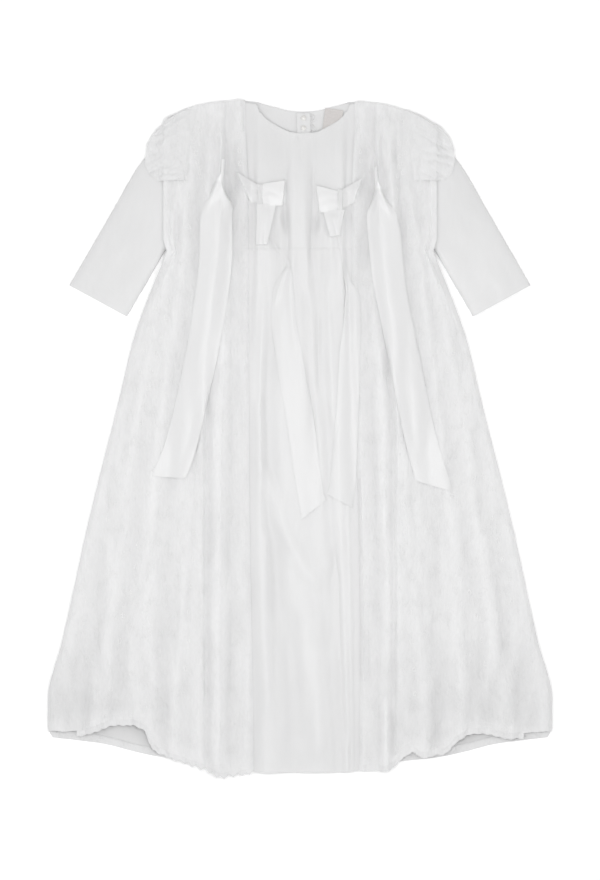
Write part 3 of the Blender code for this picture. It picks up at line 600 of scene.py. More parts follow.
# Single folds: start, middle, end (top to bottom, mm), half width, height
SATIN_CREASES = (
    ((-15.5, 300), (-15.5, 270), (-13, 205), 2.2, -1.2),
    ((14.5, 300), (14.5, 262), (11, 200), 2.2, -1.2),
    ((-17.5, 256), (-17, 244), (-15.5, 232), 3.4, -3.6),
    ((18.5, 250), (18, 240), (16.5, 230), 3.2, -3.6),
    ((-47, 50), (-40, -20), (-15, -100), 6.0, 1.6),
    ((-46, -20), (-25, -90), (17, -160), 6.5, 1.8),
    ((-36, -20), (-12, -90), (26, -150), 6.0, -0.5),
    ((-40, -90), (-22, -130), (12, -168), 6.0, -0.4),
    ((-5, -190), (-5, -260), (-4, -330), 8.0, -1.6),
    ((-36, -100), (-38, -200), (-34, -300), 6.0, 1.8),
    ((36, -145), (36, -188), (37, -230), 10.0, -2.0),
    ((58, -60), (60, -160), (62, -260), 4.0, 1.6),
    ((20, 135), (20, 98), (21, 55), 2.5, -1.4),
    ((-44, 170), (-46, 110), (-48, 40), 3.0, -1.6),
    ((30, 170), (33, 110), (36, 20), 3.5, 1.2),
    ((6, 165), (10, 60), (18, -40), 4.5, -1.6),
    ((38, -120), (44, -220), (50, -330), 3.5, -1.4),
    ((16, -230), (18, -280), (20, -345), 6.0, 1.5),
)
SATIN_LINES = fold_lines(SATIN_FOLDS)
SATIN_FLAT_X = (80 * MM, 110 * MM)
GATHERS = 7
GATHER_HEIGHT = 1.0 * MM
GATHER_LENGTH = 75 * MM


def profile_arrays(lines, y):
    """Place and lift of each fold line for an array of heights."""
    return [(in_mm(places, y), in_mm(lifts, y)) for places, lifts in lines]


def satin_arrays(y):
    edge = np.where(y > WAIST_Y, ARMHOLE_X - SEAM_GAP, side_line(y) - SATIN_INSET)
    zero = np.zeros_like(edge)
    outer = [(np.minimum(x, edge - 8 * MM), zero) for x in SATIN_FLAT_X] + [(edge, zero)]
    return [(-x, z) for x, z in outer[::-1]] + profile_arrays(SATIN_LINES, y) + outer


def column_table(arrays_at, y, spacing, coarse=()):
    """(line, share of the way to the next) for each column of a sheet, closer than a spacing."""
    xs = [float(x[0]) for x, _ in arrays_at(np.array([y]))]
    table = []
    for k in range(len(xs) - 1):
        parts = 3 if k in coarse else max(3, math.ceil(abs(xs[k + 1] - xs[k]) / spacing))
        table += [(k, s / parts) for s in range(parts)]
    return [*table, (len(xs) - 2, 1.0)]


def sample(arrays, table):
    """Places and lifts for arrays of heights whose last axis runs over the columns."""
    x = np.empty_like(arrays[0][0])
    z = np.empty_like(x)
    for i, (k, t) in enumerate(table):
        (xa, za), (xb, zb) = arrays[k], arrays[k + 1]
        x[..., i] = mix(xa[..., i], xb[..., i], t)
        z[..., i] = mix(za[..., i], zb[..., i], smooth(t))
    return x, z


def across_at(arrays_at, table, y):
    """Place of each column at one height."""
    return sample(arrays_at(np.full(len(table), y)), table)[0]


def gathers(x, y):
    reach = np.where(y < WAIST_Y, GATHER_LENGTH, GATHER_LENGTH / 3)
    fade = smooth(1 - np.abs(WAIST_Y - y) / reach) * smooth((48 * MM - np.abs(x)) / (10 * MM))
    big = 0.5 - 0.5 * np.cos(2 * math.pi * GATHERS * x / (96 * MM))
    small = streaks(x, y, 3.6 * MM, 55 * MM, 21.0)
    return fade * (GATHER_HEIGHT * big + 0.55 * MM * small)


def satin_surface(y, table):
    x, lift = sample(satin_arrays(y), table)
    middle = smooth((62 * MM - np.abs(x)) / (10 * MM))
    detail = creases(x, y, SATIN_CREASES) + 1.1 * MM * streaks(x + 0.05 * y, y, 15 * MM, 80 * MM, 4.0)
    detail += 0.22 * MM * streaks(x, y, 5 * MM, 16 * MM, 14.0)
    z = SATIN_FRONT_Z + 0.3 * MM + lift + gathers(x, y) + middle * detail
    return np.dstack([x, y, np.maximum(z, SATIN_FRONT_Z + 0.1 * MM)])


columns = column_table(satin_arrays, CHEST_Y, 1.6 * MM, coarse=(0, 1, 2, 14, 15, 16))
top_x = across_at(satin_arrays, columns, SHOULDER_Y)
from_neck = np.abs(top_x - NECK_CENTRE_X)
shoulder = np.where(
    top_x < NECK_CENTRE_X, shoulder_y("left", np.abs(top_x)), shoulder_y("right", np.abs(top_x))
) - 3 * MM
top_y = np.where(
    from_neck < 51 * MM, in_mm(FRONT_NECK, from_neck) - np.where(from_neck < 47 * MM, 0.0, 3 * MM), shoulder
)
steps = np.linspace(0, 1, 90)[:, None]
bodice_points = satin_surface(mix(top_y[None, :], WAIST_Y + SEAM_GAP / 2, steps), columns)
bodice_front = grid_piece("bodice_front_satin", bodice_points, SATIN, SATIN_WALL)
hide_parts("bodice_front")

hem_x = across_at(satin_arrays, columns, HEM_Y)
hem_wave = np.array([noise.noise(Vector((x * 30, 0.0, 2.0))) for x in hem_x])
hem_y = in_mm(SATIN_HEM, np.abs(hem_x)) + 0.9 * MM * hem_wave
steps = np.linspace(0, 1, 280)[:, None] ** 1.05
skirt_points = satin_surface(mix(WAIST_Y + 0.9 * MM, hem_y[None, :], steps), columns)
under_seam = smooth((skirt_points[..., 1] - WAIST_Y + 2.5 * MM) / (2.4 * MM))
skirt_points[..., 2] -= (SATIN_WALL + 0.06 * MM) * under_seam
skirt_front = grid_piece("skirt_front_satin", skirt_points, SATIN, SATIN_WALL)
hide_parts("skirt_front")

# Sleeves
# Each sleeve is a plain satin tube pressed flat, set into the armhole and open at its hemmed cuff.
# Soft dents run along it where it was pressed.
SLEEVE_SECTIONS = (
    (143.3, 346.0, 143.3, 211.5),
    (151.0, 342.5, 147.5, 208.5),
    (158.5, 332.0, 151.0, 203.0),
    (166.0, 317.5, 154.5, 197.0),
    (181.0, 296.0, 160.0, 187.5),
    (204.7, 254.5, 169.0, 171.5),
    (229.5, 211.5, 179.5, 154.0),
    (253.5, 170.0, 190.0, 135.5),
)
SLEEVE_HEIGHT = 6.4 * MM
SLEEVE_EDGE_HEIGHT = 2.3 * MM
SLEEVE_RINGS = 120
SLEEVE_HALF_RING = 44
SLEEVE_WALL = 0.7 * MM

sleeve_points = {}
for side, sign in SIDES.items():
    ring_at = np.linspace(0, len(SLEEVE_SECTIONS) - 1, SLEEVE_RINGS)
    sections = [(k, *row) for k, row in enumerate(SLEEVE_SECTIONS)]
    outer_x, outer_y, inner_x, inner_y = (curve_at(sections, ring_at, c) * MM for c in (1, 2, 3, 4))
    angle = np.linspace(0, math.pi, SLEEVE_HALF_RING)
    top_share = np.cos(angle)
    under_share = -top_share[1:-1]
    share = np.concatenate([top_share, under_share])
    crown = np.sqrt(1 - np.minimum(np.abs(top_share), 1.0) ** 6)
    top_z = SLEEVE_EDGE_HEIGHT + (SLEEVE_HEIGHT - SLEEVE_EDGE_HEIGHT) * crown
    under_z = SLEEVE_EDGE_HEIGHT * np.abs(under_share) ** 14
    ring_z = np.concatenate([top_z, under_z])
    x = sign * ((outer_x + inner_x)[:, None] / 2 + share[None, :] * (outer_x - inner_x)[:, None] / 2)
    y = (outer_y + inner_y)[:, None] / 2 + share[None, :] * (outer_y - inner_y)[:, None] / 2
    is_top = np.zeros(len(share))
    is_top[: len(top_share)] = np.clip(crown, 0, 1)
    soft = 0.7 * MM * streaks(x + y * sign * 0.6, y, 26 * MM, 40 * MM, 31.0 + sign)
    fine = 0.25 * MM * streaks(x + y * sign * 0.5, y, 9 * MM, 22 * MM, 37.0 + sign)
    cuff = np.linspace(0, 1, SLEEVE_RINGS)[:, None]
    hem_line = -0.35 * MM * bell(cuff - 0.925, 0.008)
    z = ring_z[None, :] + is_top[None, :] * (soft + fine - 0.45 * MM + hem_line)
    upper = slice(0, len(top_share))
    sleeve_points[side] = np.dstack([x[:, upper], y[:, upper], z[:, upper]])
    bm = bmesh.new()
    rows = []
    for j in range(SLEEVE_RINGS):
        rows.append([bm.verts.new((x[j, i], y[j, i], z[j, i])) for i in range(len(share))])
    for near, far in zip(rows, rows[1:]):
        for i in range(len(share)):
            nxt = (i + 1) % len(share)
            bm.faces.new((near[i], near[nxt], far[nxt], far[i]))
    bmesh.ops.recalc_face_normals(bm, faces=bm.faces)
    bm.faces.ensure_lookup_table()
    highest = max(bm.faces, key=lambda face: face.calc_center_median().z)
    if highest.normal.z < 0:
        bmesh.ops.reverse_faces(bm, faces=bm.faces)
    bmesh.ops.solidify(bm, geom=bm.faces[:], thickness=SLEEVE_WALL)
    sleeve = new_piece(f"sleeve_{side}_satin", bm, SATIN)
    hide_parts(f"sleeve_{side}")

# Lace fronts
# Each lace front is open down the middle and has one deep pleat, whose edge runs from the shoulder
# to the hem. The lace is crinkled, falls in soft upright folds and turns down at the side seam.
LACE_FOLDS = (
    ("front edge",    60.0,  56.5,  56.0,  51.0,   0.4, 4.0, 1.4, 1.8),
    ("pleat floor",   63.0,  61.5,  62.0,  58.0,   0.0, 0.0, 0.0, 0.2),
    ("inner ridge",   67.0,  66.0,  66.0,  65.0,   0.0, 0.0, 0.0, 0.1),
    ("inner valley",  72.0,  71.0,  72.0,  74.0,   0.0, 0.0, 0.2, 0.4),
    ("second ridge",  76.0,  75.5,  90.0,  91.0,   0.0, 0.0, 7.4, 8.4),
    ("pleat foot",    81.0,  81.5, 103.5, 103.5,   0.0, 0.0, 2.0, 2.4),
    ("pleat edge",    84.5,  86.5, 107.5, 107.5,   1.2, 8.0, 5.0, 4.4),
    ("pleat back",    94.0, 100.0, 122.0, 123.0,   1.2, 5.5, 3.4, 3.0),
    ("first hollow", 104.0, 113.0, 142.0, 152.0,   0.4, 1.4, 0.6, 0.8),
    ("first swell",  113.0, 123.0, 156.0, 180.0,   0.8, 2.6, 2.8, 6.0),
    ("next hollow",  122.0, 131.0, 168.0, 206.0,   0.4, 0.8, 0.6, 2.0),
    ("outer swell",  130.0, 138.0, 182.0, 228.0,   0.6, 1.8, 2.4, 5.0),
    ("side hollow",  136.0, 142.5, 193.0, 247.0,   0.6, 1.2, 0.6, 0.8),
)
# Single folds of each side: start, middle, end (top to bottom, mm from the middle), half width, height
LACE_CREASES = {
    "left": (
        ((209, -110), (210, -140), (211, -168), 4.0, 1.5),
        ((146, -51), (160, -112), (176, -174), 5.0, -1.5),
        ((197, -264), (198, -290), (200, -312), 3.5, -1.3),
        ((223, -262), (224, -285), (226, -310), 3.5, -1.2),
        ((86, 77), (87, -100), (88, -340), 2.0, 1.0),
        ((58, -240), (58, -297), (59, -345), 3.0, 1.6),
        ((60, -150), (62, -165), (64, -180), 7.0, 1.6),
        ((128, -140), (132, -220), (140, -330), 4.0, 1.1),
        ((112, 40), (118, -60), (124, -200), 3.0, -0.8),
        ((150, 120), (160, 60), (172, -10), 3.0, 0.9),
        ((186, -40), (204, -120), (222, -230), 4.0, -1.0),
        ((86, 338), (87, 310), (88, 280), 3.4, 3.4),
        ((59, 340), (58, 308), (57, 284), 4.0, 1.5),
        ((70, 298), (64, 284), (58, 271), 2.6, 2.4),
        ((87, 312), (88, 299), (88, 285), 1.6, 1.2),
        ((78, 280), (73, 250), (71, 190), 3.5, -1.5),
        ((107, 218), (107, 206), (107, 194), 3.0, -1.0),
    ),
    "right": (
        ((206, -105), (207, -128), (208, -150), 4.0, 1.5),
        ((152, -61), (162, -120), (174, -184), 5.0, -1.5),
        ((185, -205), (186, -228), (187, -250), 3.5, -1.2),
        ((224, -211), (225, -225), (226, -240), 3.5, -1.1),
        ((238, -254), (239, -268), (240, -282), 3.5, -1.1),
        ((67, -46), (67, -150), (68, -262), 6.5, 3.6),
        ((90, -110), (92, -200), (94, -290), 6.0, -4.6),
        ((100, -240), (103, -290), (106, -352), 15.0, -2.6),
        ((131, -200), (131, -255), (132, -310), 5.0, 1.4),
        ((118, 60), (124, -40), (128, -160), 3.0, -0.8),
        ((152, 110), (162, 50), (174, -20), 3.0, 0.9),
        ((188, -30), (205, -110), (224, -200), 4.0, -1.0),
        ((85, 332), (86, 304), (87, 272), 3.4, 3.4),
        ((59, 334), (58, 302), (57, 278), 4.0, 1.5),
        ((70, 292), (64, 278), (58, 265), 2.6, 2.4),
        ((85.5, 303), (86, 291), (86, 276), 1.6, 1.2),
        ((77, 272), (72, 245), (71, 186), 3.5, -1.5),
        ((106, 214), (106, 200), (107, 188), 3.0, -1.0),
    ),
}
LACE_LINES = fold_lines(LACE_FOLDS)
SIDE_TURN = 5.0 * MM
SIDE_DROP = 1.1 * LAYER
SLEEVE_CLEARANCE = 2.4 * MM
RIGHT_SHIFT_AT_HEM = 14 * MM


def lace_arrays(side, y):
    """Fold lines of a lace front, inside to outside, for an array of heights."""
    down = smooth((CHEST_Y - y) / (CHEST_Y - HEM_Y))
    shift = RIGHT_SHIFT_AT_HEM * down if side == "right" else 0.0 * y
    edge = side_line(y)
    over_sleeve = smooth((y - 190 * MM) / (17 * MM))
    arrays = []
    for k, (places, lifts) in enumerate(LACE_LINES):
        x = in_mm(places, y)
        x = x + shift * (1 - smooth((x - 60 * MM) / (45 * MM)))
        room = SIDE_TURN + 2.2 * MM * (len(LACE_LINES) - k)
        arrays.append((np.minimum(x, edge - room), in_mm(lifts, y)))
    arrays.append((edge - SIDE_TURN, mix(0.0, SLEEVE_CLEARANCE, over_sleeve)))
    arrays.append((edge, mix(-SIDE_DROP, SLEEVE_CLEARANCE, over_sleeve)))
    return arrays



def lace_surface(side, y, table):
    out, lift = sample(lace_arrays(side, y), table)
    edge = side_line(y)
    inside = smooth((edge - out) / (9 * MM))
    sign = SIDES[side]
    crinkle = 1.3 * streaks(out, y, 12 * MM, 60 * MM, 44.0 + sign)
    crinkle += 0.50 * streaks(out, y, 7 * MM, 40 * MM, 50.0 + sign)
    crinkle += 0.36 * streaks(out, y, 3.6 * MM, 16 * MM, 60.0 + sign)
    crinkle += 0.16 * streaks(out, y, 2.4 * MM, 5 * MM, 70.0 + sign)
    crinkle *= 1 + 1.4 * smooth((-140 * MM - y) / (150 * MM)) * smooth((out - 110 * MM) / (40 * MM))
    crinkle *= 1 + 0.8 * smooth((y - 200 * MM) / (60 * MM))
    detail = creases(out, y, LACE_CREASES[side]) + crinkle * MM
    z = LACE_FRONT_Z + 0.45 * MM + lift + inside * detail
    floor = np.where(out > edge - SIDE_TURN, 1.75 * MM, LACE_FRONT_Z - 0.45 * MM)
    return np.dstack([sign * out, y, np.maximum(z, floor)])


def under_tree(arrays):
    """The cloth that lies below, for finding its height."""
    verts, faces, first = [], [], 0
    for points in arrays:
        rows, columns = points.shape[:2]
        index = first + np.arange(rows * columns).reshape(rows, columns)
        quads = np.stack([index[:-1, :-1], index[:-1, 1:], index[1:, 1:], index[1:, :-1]], axis=-1)
        verts += points.reshape(-1, 3).tolist()
        faces += quads.reshape(-1, 4).tolist()
        first += rows * columns
    return BVHTree.FromPolygons(verts, faces)


CAST_HEIGHT = 0.08


def heights_on(tree, x, y, otherwise=SATIN_FRONT_Z):
    """Height of the cloth under each place of an array."""
    down = Vector((0, 0, -1))
    found = []
    for a, b in zip(np.ravel(x), np.ravel(y)):
        hit = tree.ray_cast(Vector((a, b, CAST_HEIGHT)), down)[0]
        found.append(hit.z if hit else otherwise)
    return np.array(found).reshape(np.shape(x))


satin_tree = under_tree([bodice_points, skirt_points])
lace_points = {}
lace_fronts = {}
for side in SIDES:
    arrays_at = functools.partial(lace_arrays, side)
    columns = column_table(arrays_at, CHEST_Y - 150 * MM, 1.9 * MM)
    top_y = shoulder_y(side, np.maximum(across_at(arrays_at, columns, SHOULDER_Y), 50 * MM))
    hem_x = across_at(arrays_at, columns, HEM_Y)
    hem_wave = streaks(hem_x, 0 * hem_x, 9 * MM, 1.0, 2.0 + SIDES[side])
    hem_y = in_mm(LACE_FRONT_HEM[side], hem_x) + 1.4 * MM * hem_wave
    above = np.linspace(0, 1, 95)[:, None]
    below = np.linspace(0, 1, 255)[1:, None]
    y = np.vstack([mix(top_y[None, :], UNDERARM_Y, above), mix(UNDERARM_Y, hem_y[None, :], below)])
    points = lace_surface(side, y, columns)
    near = points[:, :14]
    rest = heights_on(satin_tree, near[..., 0], near[..., 1]) + LACE_WALL + 0.1 * MM
    from_edge = np.abs(near[..., 0] - near[:, :1, 0])
    settle = 1 - smooth((from_edge - 0.4 * MM) / (4.5 * MM))
    near_y = near[..., 1]
    settle *= 1 - 0.15 * smooth((near_y - 268 * MM) / (10 * MM)) * smooth((342 * MM - near_y) / (8 * MM))
    near[..., 2] = np.maximum(mix(near[..., 2], rest, settle), rest)
    lace_points[side] = points
    lace_fronts[side] = grid_piece(f"lace_front_{side}_cloth", points, LACE, LACE_WALL)
    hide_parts(f"lace_front_{side}")

# Hem edging
# A narrow pointed lace is sewn under each lace front's hem. Its points show best on the left, where
# the hem hangs lower than the satin.
EDGING_DEPTH = 8 * MM
TOOTH_PITCH = 9.5 * MM
for side in SIDES:
    hem = lace_points[side][-1][:-8]
    run = np.concatenate([[0], np.cumsum(np.hypot(*np.diff(hem[:, :2], axis=0).T))])
    at = np.linspace(0, run[-1], int(run[-1] / (0.9 * MM)))
    line = np.stack([np.interp(at, run, hem[:, c]) for c in range(3)], axis=1)
    phase = at / TOOTH_PITCH + 0.12 * np.sin(at / (31 * MM))
    tooth = (1 - np.abs(2 * (phase % 1.0) - 1)) ** 0.8
    show = 1 - smooth((np.abs(line[:, 0]) - 120 * MM) / (50 * MM))
    point = mix(0.3, 1.0, show) if side == "left" else np.full(len(at), 0.3)
    depth = EDGING_DEPTH * (1 - 0.5 * point * (1 - tooth))
    down = np.linspace(0, 1, 11)
    y = line[None, :, 1] + 0.8 * MM - down[:, None] * depth[None, :]
    x = np.repeat(line[None, :, 0], len(down), axis=0)
    ripple = 0.5 * MM * streaks(x, y, 5 * MM, 9 * MM, 83.0 + SIDES[side]) * down[:, None]
    z = np.repeat(line[None, :, 2], len(down), axis=0) - LACE_WALL - 0.06 * MM + ripple
    points = np.dstack([x, y, np.maximum(z, LACE_FRONT_Z - 0.2 * MM)])
    grid_piece(f"hem_edging_{side}_lace", points, LACE, TRIM_WALL)
    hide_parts(f"hem_edging_{side}")

# Shoulder caps
# A gathered lace cap hangs from the shoulder seam over the top of each sleeve. Its gathers fan out
# from the seam and make an uneven loose edge.
CAP_SEAM = ((113, 362), (117, 345), (120, 328), (122, 310), (124, 293), (125, 285))
CAP_EDGE = ((154.5, 343), (163, 332), (168.5, 320), (170, 306), (166, 293), (157, 284))
CAP_ROWS = 150
CAP_COLUMNS = 46
CAP_WAVES = 5
shoulder_tree = under_tree([*lace_points.values(), *sleeve_points.values()])
for side, sign in SIDES.items():
    out, down = np.meshgrid(np.linspace(0, 1, CAP_COLUMNS), np.linspace(0, 1, CAP_ROWS))
    seam, edge = (
        [curve_at([(k / 5, p[c]) for k, p in enumerate(line)], down) * MM for c in (0, 1)]
        for line in (CAP_SEAM, CAP_EDGE)
    )
    x, y = mix(seam[0], edge[0], out), mix(seam[1], edge[1], out)
    limit = np.where(x < 150 * MM, shoulder_y(side, x) + 0.5 * MM, y)
    y = np.minimum(y + 6 * MM * (1 - down) * np.sin(math.pi * out), limit)
    warp = down + 0.06 * np.sin(down * 9 + sign) - 0.16 * out + 0.05 * np.sin(out * 5 + down * 6)
    wave = 0.5 - 0.5 * np.cos(2 * math.pi * CAP_WAVES * warp)
    wave = 1.1 * MM * smooth(out * 1.6) * wave * (0.65 + 0.35 * np.sin(down * 11 + 2 * sign))
    crinkle = 0.45 * MM * streaks(down - 0.3 * out, out, 0.045, 0.5, 91.0 + sign)
    crinkle += 0.15 * MM * streaks(x, y, 2.6 * MM, 4 * MM, 95.0)
    under = heights_on(shoulder_tree, sign * x, y, SLEEVE_HEIGHT)
    base = around(around(under, 4, 2, np.max), 6, 3, np.mean)
    base = np.maximum(mix(under, base, smooth(out * 4)), under) + 0.45 * MM
    crown = 1.8 * MM * np.sin(math.pi * np.minimum(out * 1.1, 1)) * (1 - 0.6 * smooth((0.14 - down) / 0.14))
    z = base + wave + crown + np.maximum(crinkle, -0.4 * MM) * smooth(out * 4)
    z = np.maximum(z, under + 0.42 * MM)
    ruffle = 0.7 * MM * out * np.sin(2 * math.pi * CAP_WAVES * warp)
    points = np.dstack([sign * (x + ruffle * 0.5), y, z])
    grid_piece(f"lace_cap_{side}_cloth", points, LACE, TRIM_WALL)
    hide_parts(f"lace_cap_{side}")

# Ribbon ties
# Each satin tie has two tails. The outer one comes out of the slit in the lace, folds over in a hood
# and lies down the dress; the inner one hangs from the bow. Both rest on the cloth under them.
TAILS = {
    "left_outer": (
        (-84.0, 307, 3.0), (-85.0, 291, 3.2), (-87.5, 285, 6.5), (-89.6, 276, 12), (-89.6, 268.4, 18.7),
        (-89, 258.5, 30), (-90.5, 250, 32.5), (-92, 240, 35), (-92.5, 205, 36), (-99.5, 141, 36),
        (-109, 88, 35), (-120, 38, 34), (-132, -10, 35), (-144, -41, 36),
    ),
    "left_inner": (
        (-33, 222, 3), (-23, 207, 3), (-12.5, 193, 4), (-14.5, 180, 13), (-18.5, 162, 23), (-18.5, 140, 26),
        (-14, 105, 29), (-7, 62, 30), (0, 23, 30), (7.5, -33, 29), (14.5, -77, 28.5),
    ),
    "right_inner": (
        (41, 226, 3), (47, 200, 4), (52.5, 174, 7), (57.5, 156, 16), (57, 125, 19), (54.6, 98, 22.5),
        (53, 55, 24), (51, 13, 25.5), (47, -46, 28), (44, -67, 28.5),
    ),
    "right_outer": (
        (83, 299, 3.0), (83.6, 283, 3.2), (85.6, 276, 6.5), (86.2, 268, 12), (87, 260, 19),
        (88, 251, 29), (90, 242, 33.5), (93, 222, 36), (95.5, 190, 35), (105.5, 132, 34),
        (116, 82, 34), (127, 25, 34), (138, -20, 35), (148, -51, 36),
    ),
}
TAIL_END_SLANT = {"left_outer": 0.0, "left_inner": -0.75, "right_inner": 0.5, "right_outer": 0.35}
# Folds pressed into each tail: start, middle, end (top to bottom, mm), half width, height
TAIL_CREASES = {
    "left_outer": (
        ((-87, 286), (-80, 270), (-75, 255), 3.0, 2.4),
        ((-88, 286), (-95, 270), (-101, 257), 3.5, 1.9),
        ((-87, 266), (-87, 254), (-86, 240), 5.0, -1.3),
        ((-94, 240), (-98, 170), (-112, 80), 6.0, 0.5),
    ),
    "left_inner": (
        ((-12, 196), (-22, 170), (-28, 150), 2.5, 0.8),
        ((-13, 192), (-10, 150), (-6, 100), 3.5, 0.5),
    ),
    "right_inner": (
        ((51, 180), (50, 150), (48, 120), 2.5, 0.8),
        ((56, 165), (58, 130), (58, 90), 3.0, 0.5),
    ),
    "right_outer": (
        ((84.5, 276), (78, 262), (73.5, 250), 3.0, 2.4),
        ((86, 276), (93, 262), (99, 248), 3.5, 1.9),
        ((85, 258), (85, 246), (86, 232), 5.0, -1.3),
        ((94, 230), (100, 160), (112, 80), 6.0, 0.5),
    ),
}
# Height down the dress at which the inner edge of each outer tail stands off the cloth
TAIL_LIFT_Y = {"left_outer": 2 * MM, "right_outer": 29 * MM}
TAIL_SAMPLES = 190
TAIL_ACROSS = 23


def path_points(rows, count):
    """Centreline, width and direction of a tail at even steps of its length."""
    xs, ys, widths = (np.array([row[c] for row in rows], float) for c in range(3))
    run = np.concatenate([[0], np.cumsum(np.hypot(np.diff(xs), np.diff(ys)))])
    at = np.linspace(0, run[-1], count)
    x, y, width = (curve_at([(r, v) for r, v in zip(run, values)], at) for values in (xs, ys, widths))
    dx, dy = np.gradient(around(x[:, None], 3, 0, np.mean)[:, 0]), np.gradient(y)
    length = np.hypot(dx, dy)
    return x * MM, y * MM, width * MM, dx / length, dy / length


cloth_tree = under_tree([*lace_points.values(), bodice_points, skirt_points])
tail_points = {}
for name, rows in TAILS.items():
    x, y, width, dx, dy = path_points(rows, TAIL_SAMPLES)
    share = np.linspace(-1, 1, TAIL_ACROSS)[None, :]
    side = -1 if name.startswith("left") else 1
    near_end = smooth((np.arange(TAIL_SAMPLES) - TAIL_SAMPLES + 18) / 17)
    slant = TAIL_END_SLANT[name] * near_end[:, None] * share * width[:, None] / 2
    px = x[:, None] - dy[:, None] * share * width[:, None] / 2 + dx[:, None] * slant
    py = y[:, None] + dx[:, None] * share * width[:, None] / 2 + dy[:, None] * slant
    under = heights_on(cloth_tree, px, py)
    z = around(around(under, 3, 2, np.max), 5, 3, np.mean)
    z = around(np.maximum(z, under + 0.2 * MM), 1, 1, np.mean)
    wide = smooth(width / (14 * MM))[:, None]
    z += 0.4 * MM * (1 - share**2) * wide
    z += creases(px, py, TAIL_CREASES[name]) + 0.3 * MM * wide * streaks(px, py, 20 * MM, 45 * MM, 7.0 + side)
    edge_wave = 0.5 * MM * wide * np.abs(share) ** 6 * streaks(px, py, 60 * MM, 26 * MM, 17.0 + side)
    near_top = 1 - smooth((np.arange(TAIL_SAMPLES) - 6) / 9)
    lying = np.abs(share) ** 6 * near_top[:, None] + 0.95 * np.abs(share) ** 8
    narrow = 1 - smooth((width / MM - 3) / 6)[:, None]
    lying = np.minimum(lying, 0.93) * wide
    if name.endswith("inner"):
        lying = np.maximum(lying, narrow)
    else:
        z += 3.2 * MM * narrow
    z = mix(z + edge_wave, around(under, 1, 1, np.max), lying)
    if name.endswith("outer"):
        inner_side = smooth((-side * share - 0.3) / 0.7)
        z += 1.6 * MM * inner_side * bell(y[:, None] - TAIL_LIFT_Y[name], 42 * MM)
    z = np.maximum(z, under + 0.12 * MM) + RIBBON_WALL + 0.1 * MM
    tail_points[name] = np.dstack([px, py, z])
    # The outer tails take the ribbon with painted light and a painted highlight near the slit
    look = RIBBON if name.endswith("inner") else RIBBON_SLIT_PAINTED_HIGHLIGHT
    grid_piece(f"ribbon_{name}_satin", tail_points[name], look, RIBBON_WALL)
    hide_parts(f"ribbon_{name}")

# Bows
# The two ties are knotted in small flat bows. Each has a band, two pressed loops and the folded end
# of the ribbon hanging below, and all of them crease towards the band.
BOWS = {
    "left": {
        "band": (-44, 269),
        "inner": ((-43.8, 280.5), (-40.5, 257.0), (-16.4, 284.7), (-18.8, 257), 4.8),
        "outer": ((-44.2, 279), (-44.4, 260), (-69.3, 293.7), (-53.9, 260.7), 3.2),
        "lower": ((-47, 258.5), (-26, 258.5), (-48, 214), (-36, 214), 4.6),
    },
    "right": {
        "band": (44, 263),
        "inner": ((43.8, 272.5), (43.6, 251.8), (17.6, 279), (21.3, 249.2), 4.8),
        "outer": ((44.2, 274), (44.4, 254), (68.2, 287), (58.3, 259.6), 3.2),
        "lower": ((25, 251), (49, 252), (33, 222.6), (43, 224), 4.6),
    },
}
# Loops take lighter copies of the ribbon: a painted highlight on the inner loops, painted light on the outer and
# lower ones
LOOP_LOOKS = {"inner": RIBBON_PAINTED_HIGHLIGHT, "outer": RIBBON_LOOPS_PAINTED_LIGHT, "lower": RIBBON_LOOPS_PAINTED_LIGHT}
LOOP_BASES = {"inner": 0.35 * MM, "outer": 0.1 * MM, "lower": 1.2 * MM}
LOOP_SAMPLES = 22
LOOP_ACROSS = 25


def loop_points(corners, height, base, seed):
    """A loop pressed nearly flat on the cloth: out along the bottom, round its end and back on top."""
    near_a, near_b, far_a, far_b = (np.array(corner, float) * MM for corner in corners)
    length = np.hypot(*((far_a + far_b - near_a - near_b) / 2))
    end = height / 2 / length
    reach = 1 - end
    out = np.linspace(0, reach, LOOP_SAMPLES)
    turn = np.radians(np.linspace(-75, 75, 11))
    t = np.concatenate([out, reach + end * np.cos(turn), out[::-1]])[:, None]
    lift = np.concatenate([
        0.5 * MM * (1 - smooth(out)), height / 2 * (1 + np.sin(turn)),
        height * (1 - 0.45 * (1 - smooth(out[::-1] * 1.8))),
    ])[:, None]
    on_top = np.concatenate([np.zeros(len(out)), (1 + np.sin(turn)) / 2, np.ones(len(out))])[:, None]
    share = np.linspace(0, 1, LOOP_ACROSS)[None, :]
    near = near_a[:, None, None] + (near_b - near_a)[:, None, None] * share
    far = far_a[:, None, None] + (far_b - far_a)[:, None, None] * share
    x, y = near + (far - near) * t
    flat = heights_on(cloth_tree, x, y)
    ground = np.maximum(around(around(flat, 1, 1, np.max), 3, 3, np.mean), flat) + base
    gather = (1 - smooth(t * 1.6)) * np.cos(2 * math.pi * (2.3 * share + seed))
    fold = smooth(t * 2) * bell(share - 0.2 - 0.5 * t, 0.12)
    wave = streaks(x, y, 11 * MM, 9 * MM, 40.0 + seed)
    relief = on_top * (0.28 * MM * gather - 0.35 * MM * fold + 0.25 * MM * wave)
    crown = 0.9 * MM * on_top * np.sin(math.pi * share) * smooth(t * 3)
    return np.dstack([x, y, ground + lift + relief + crown])


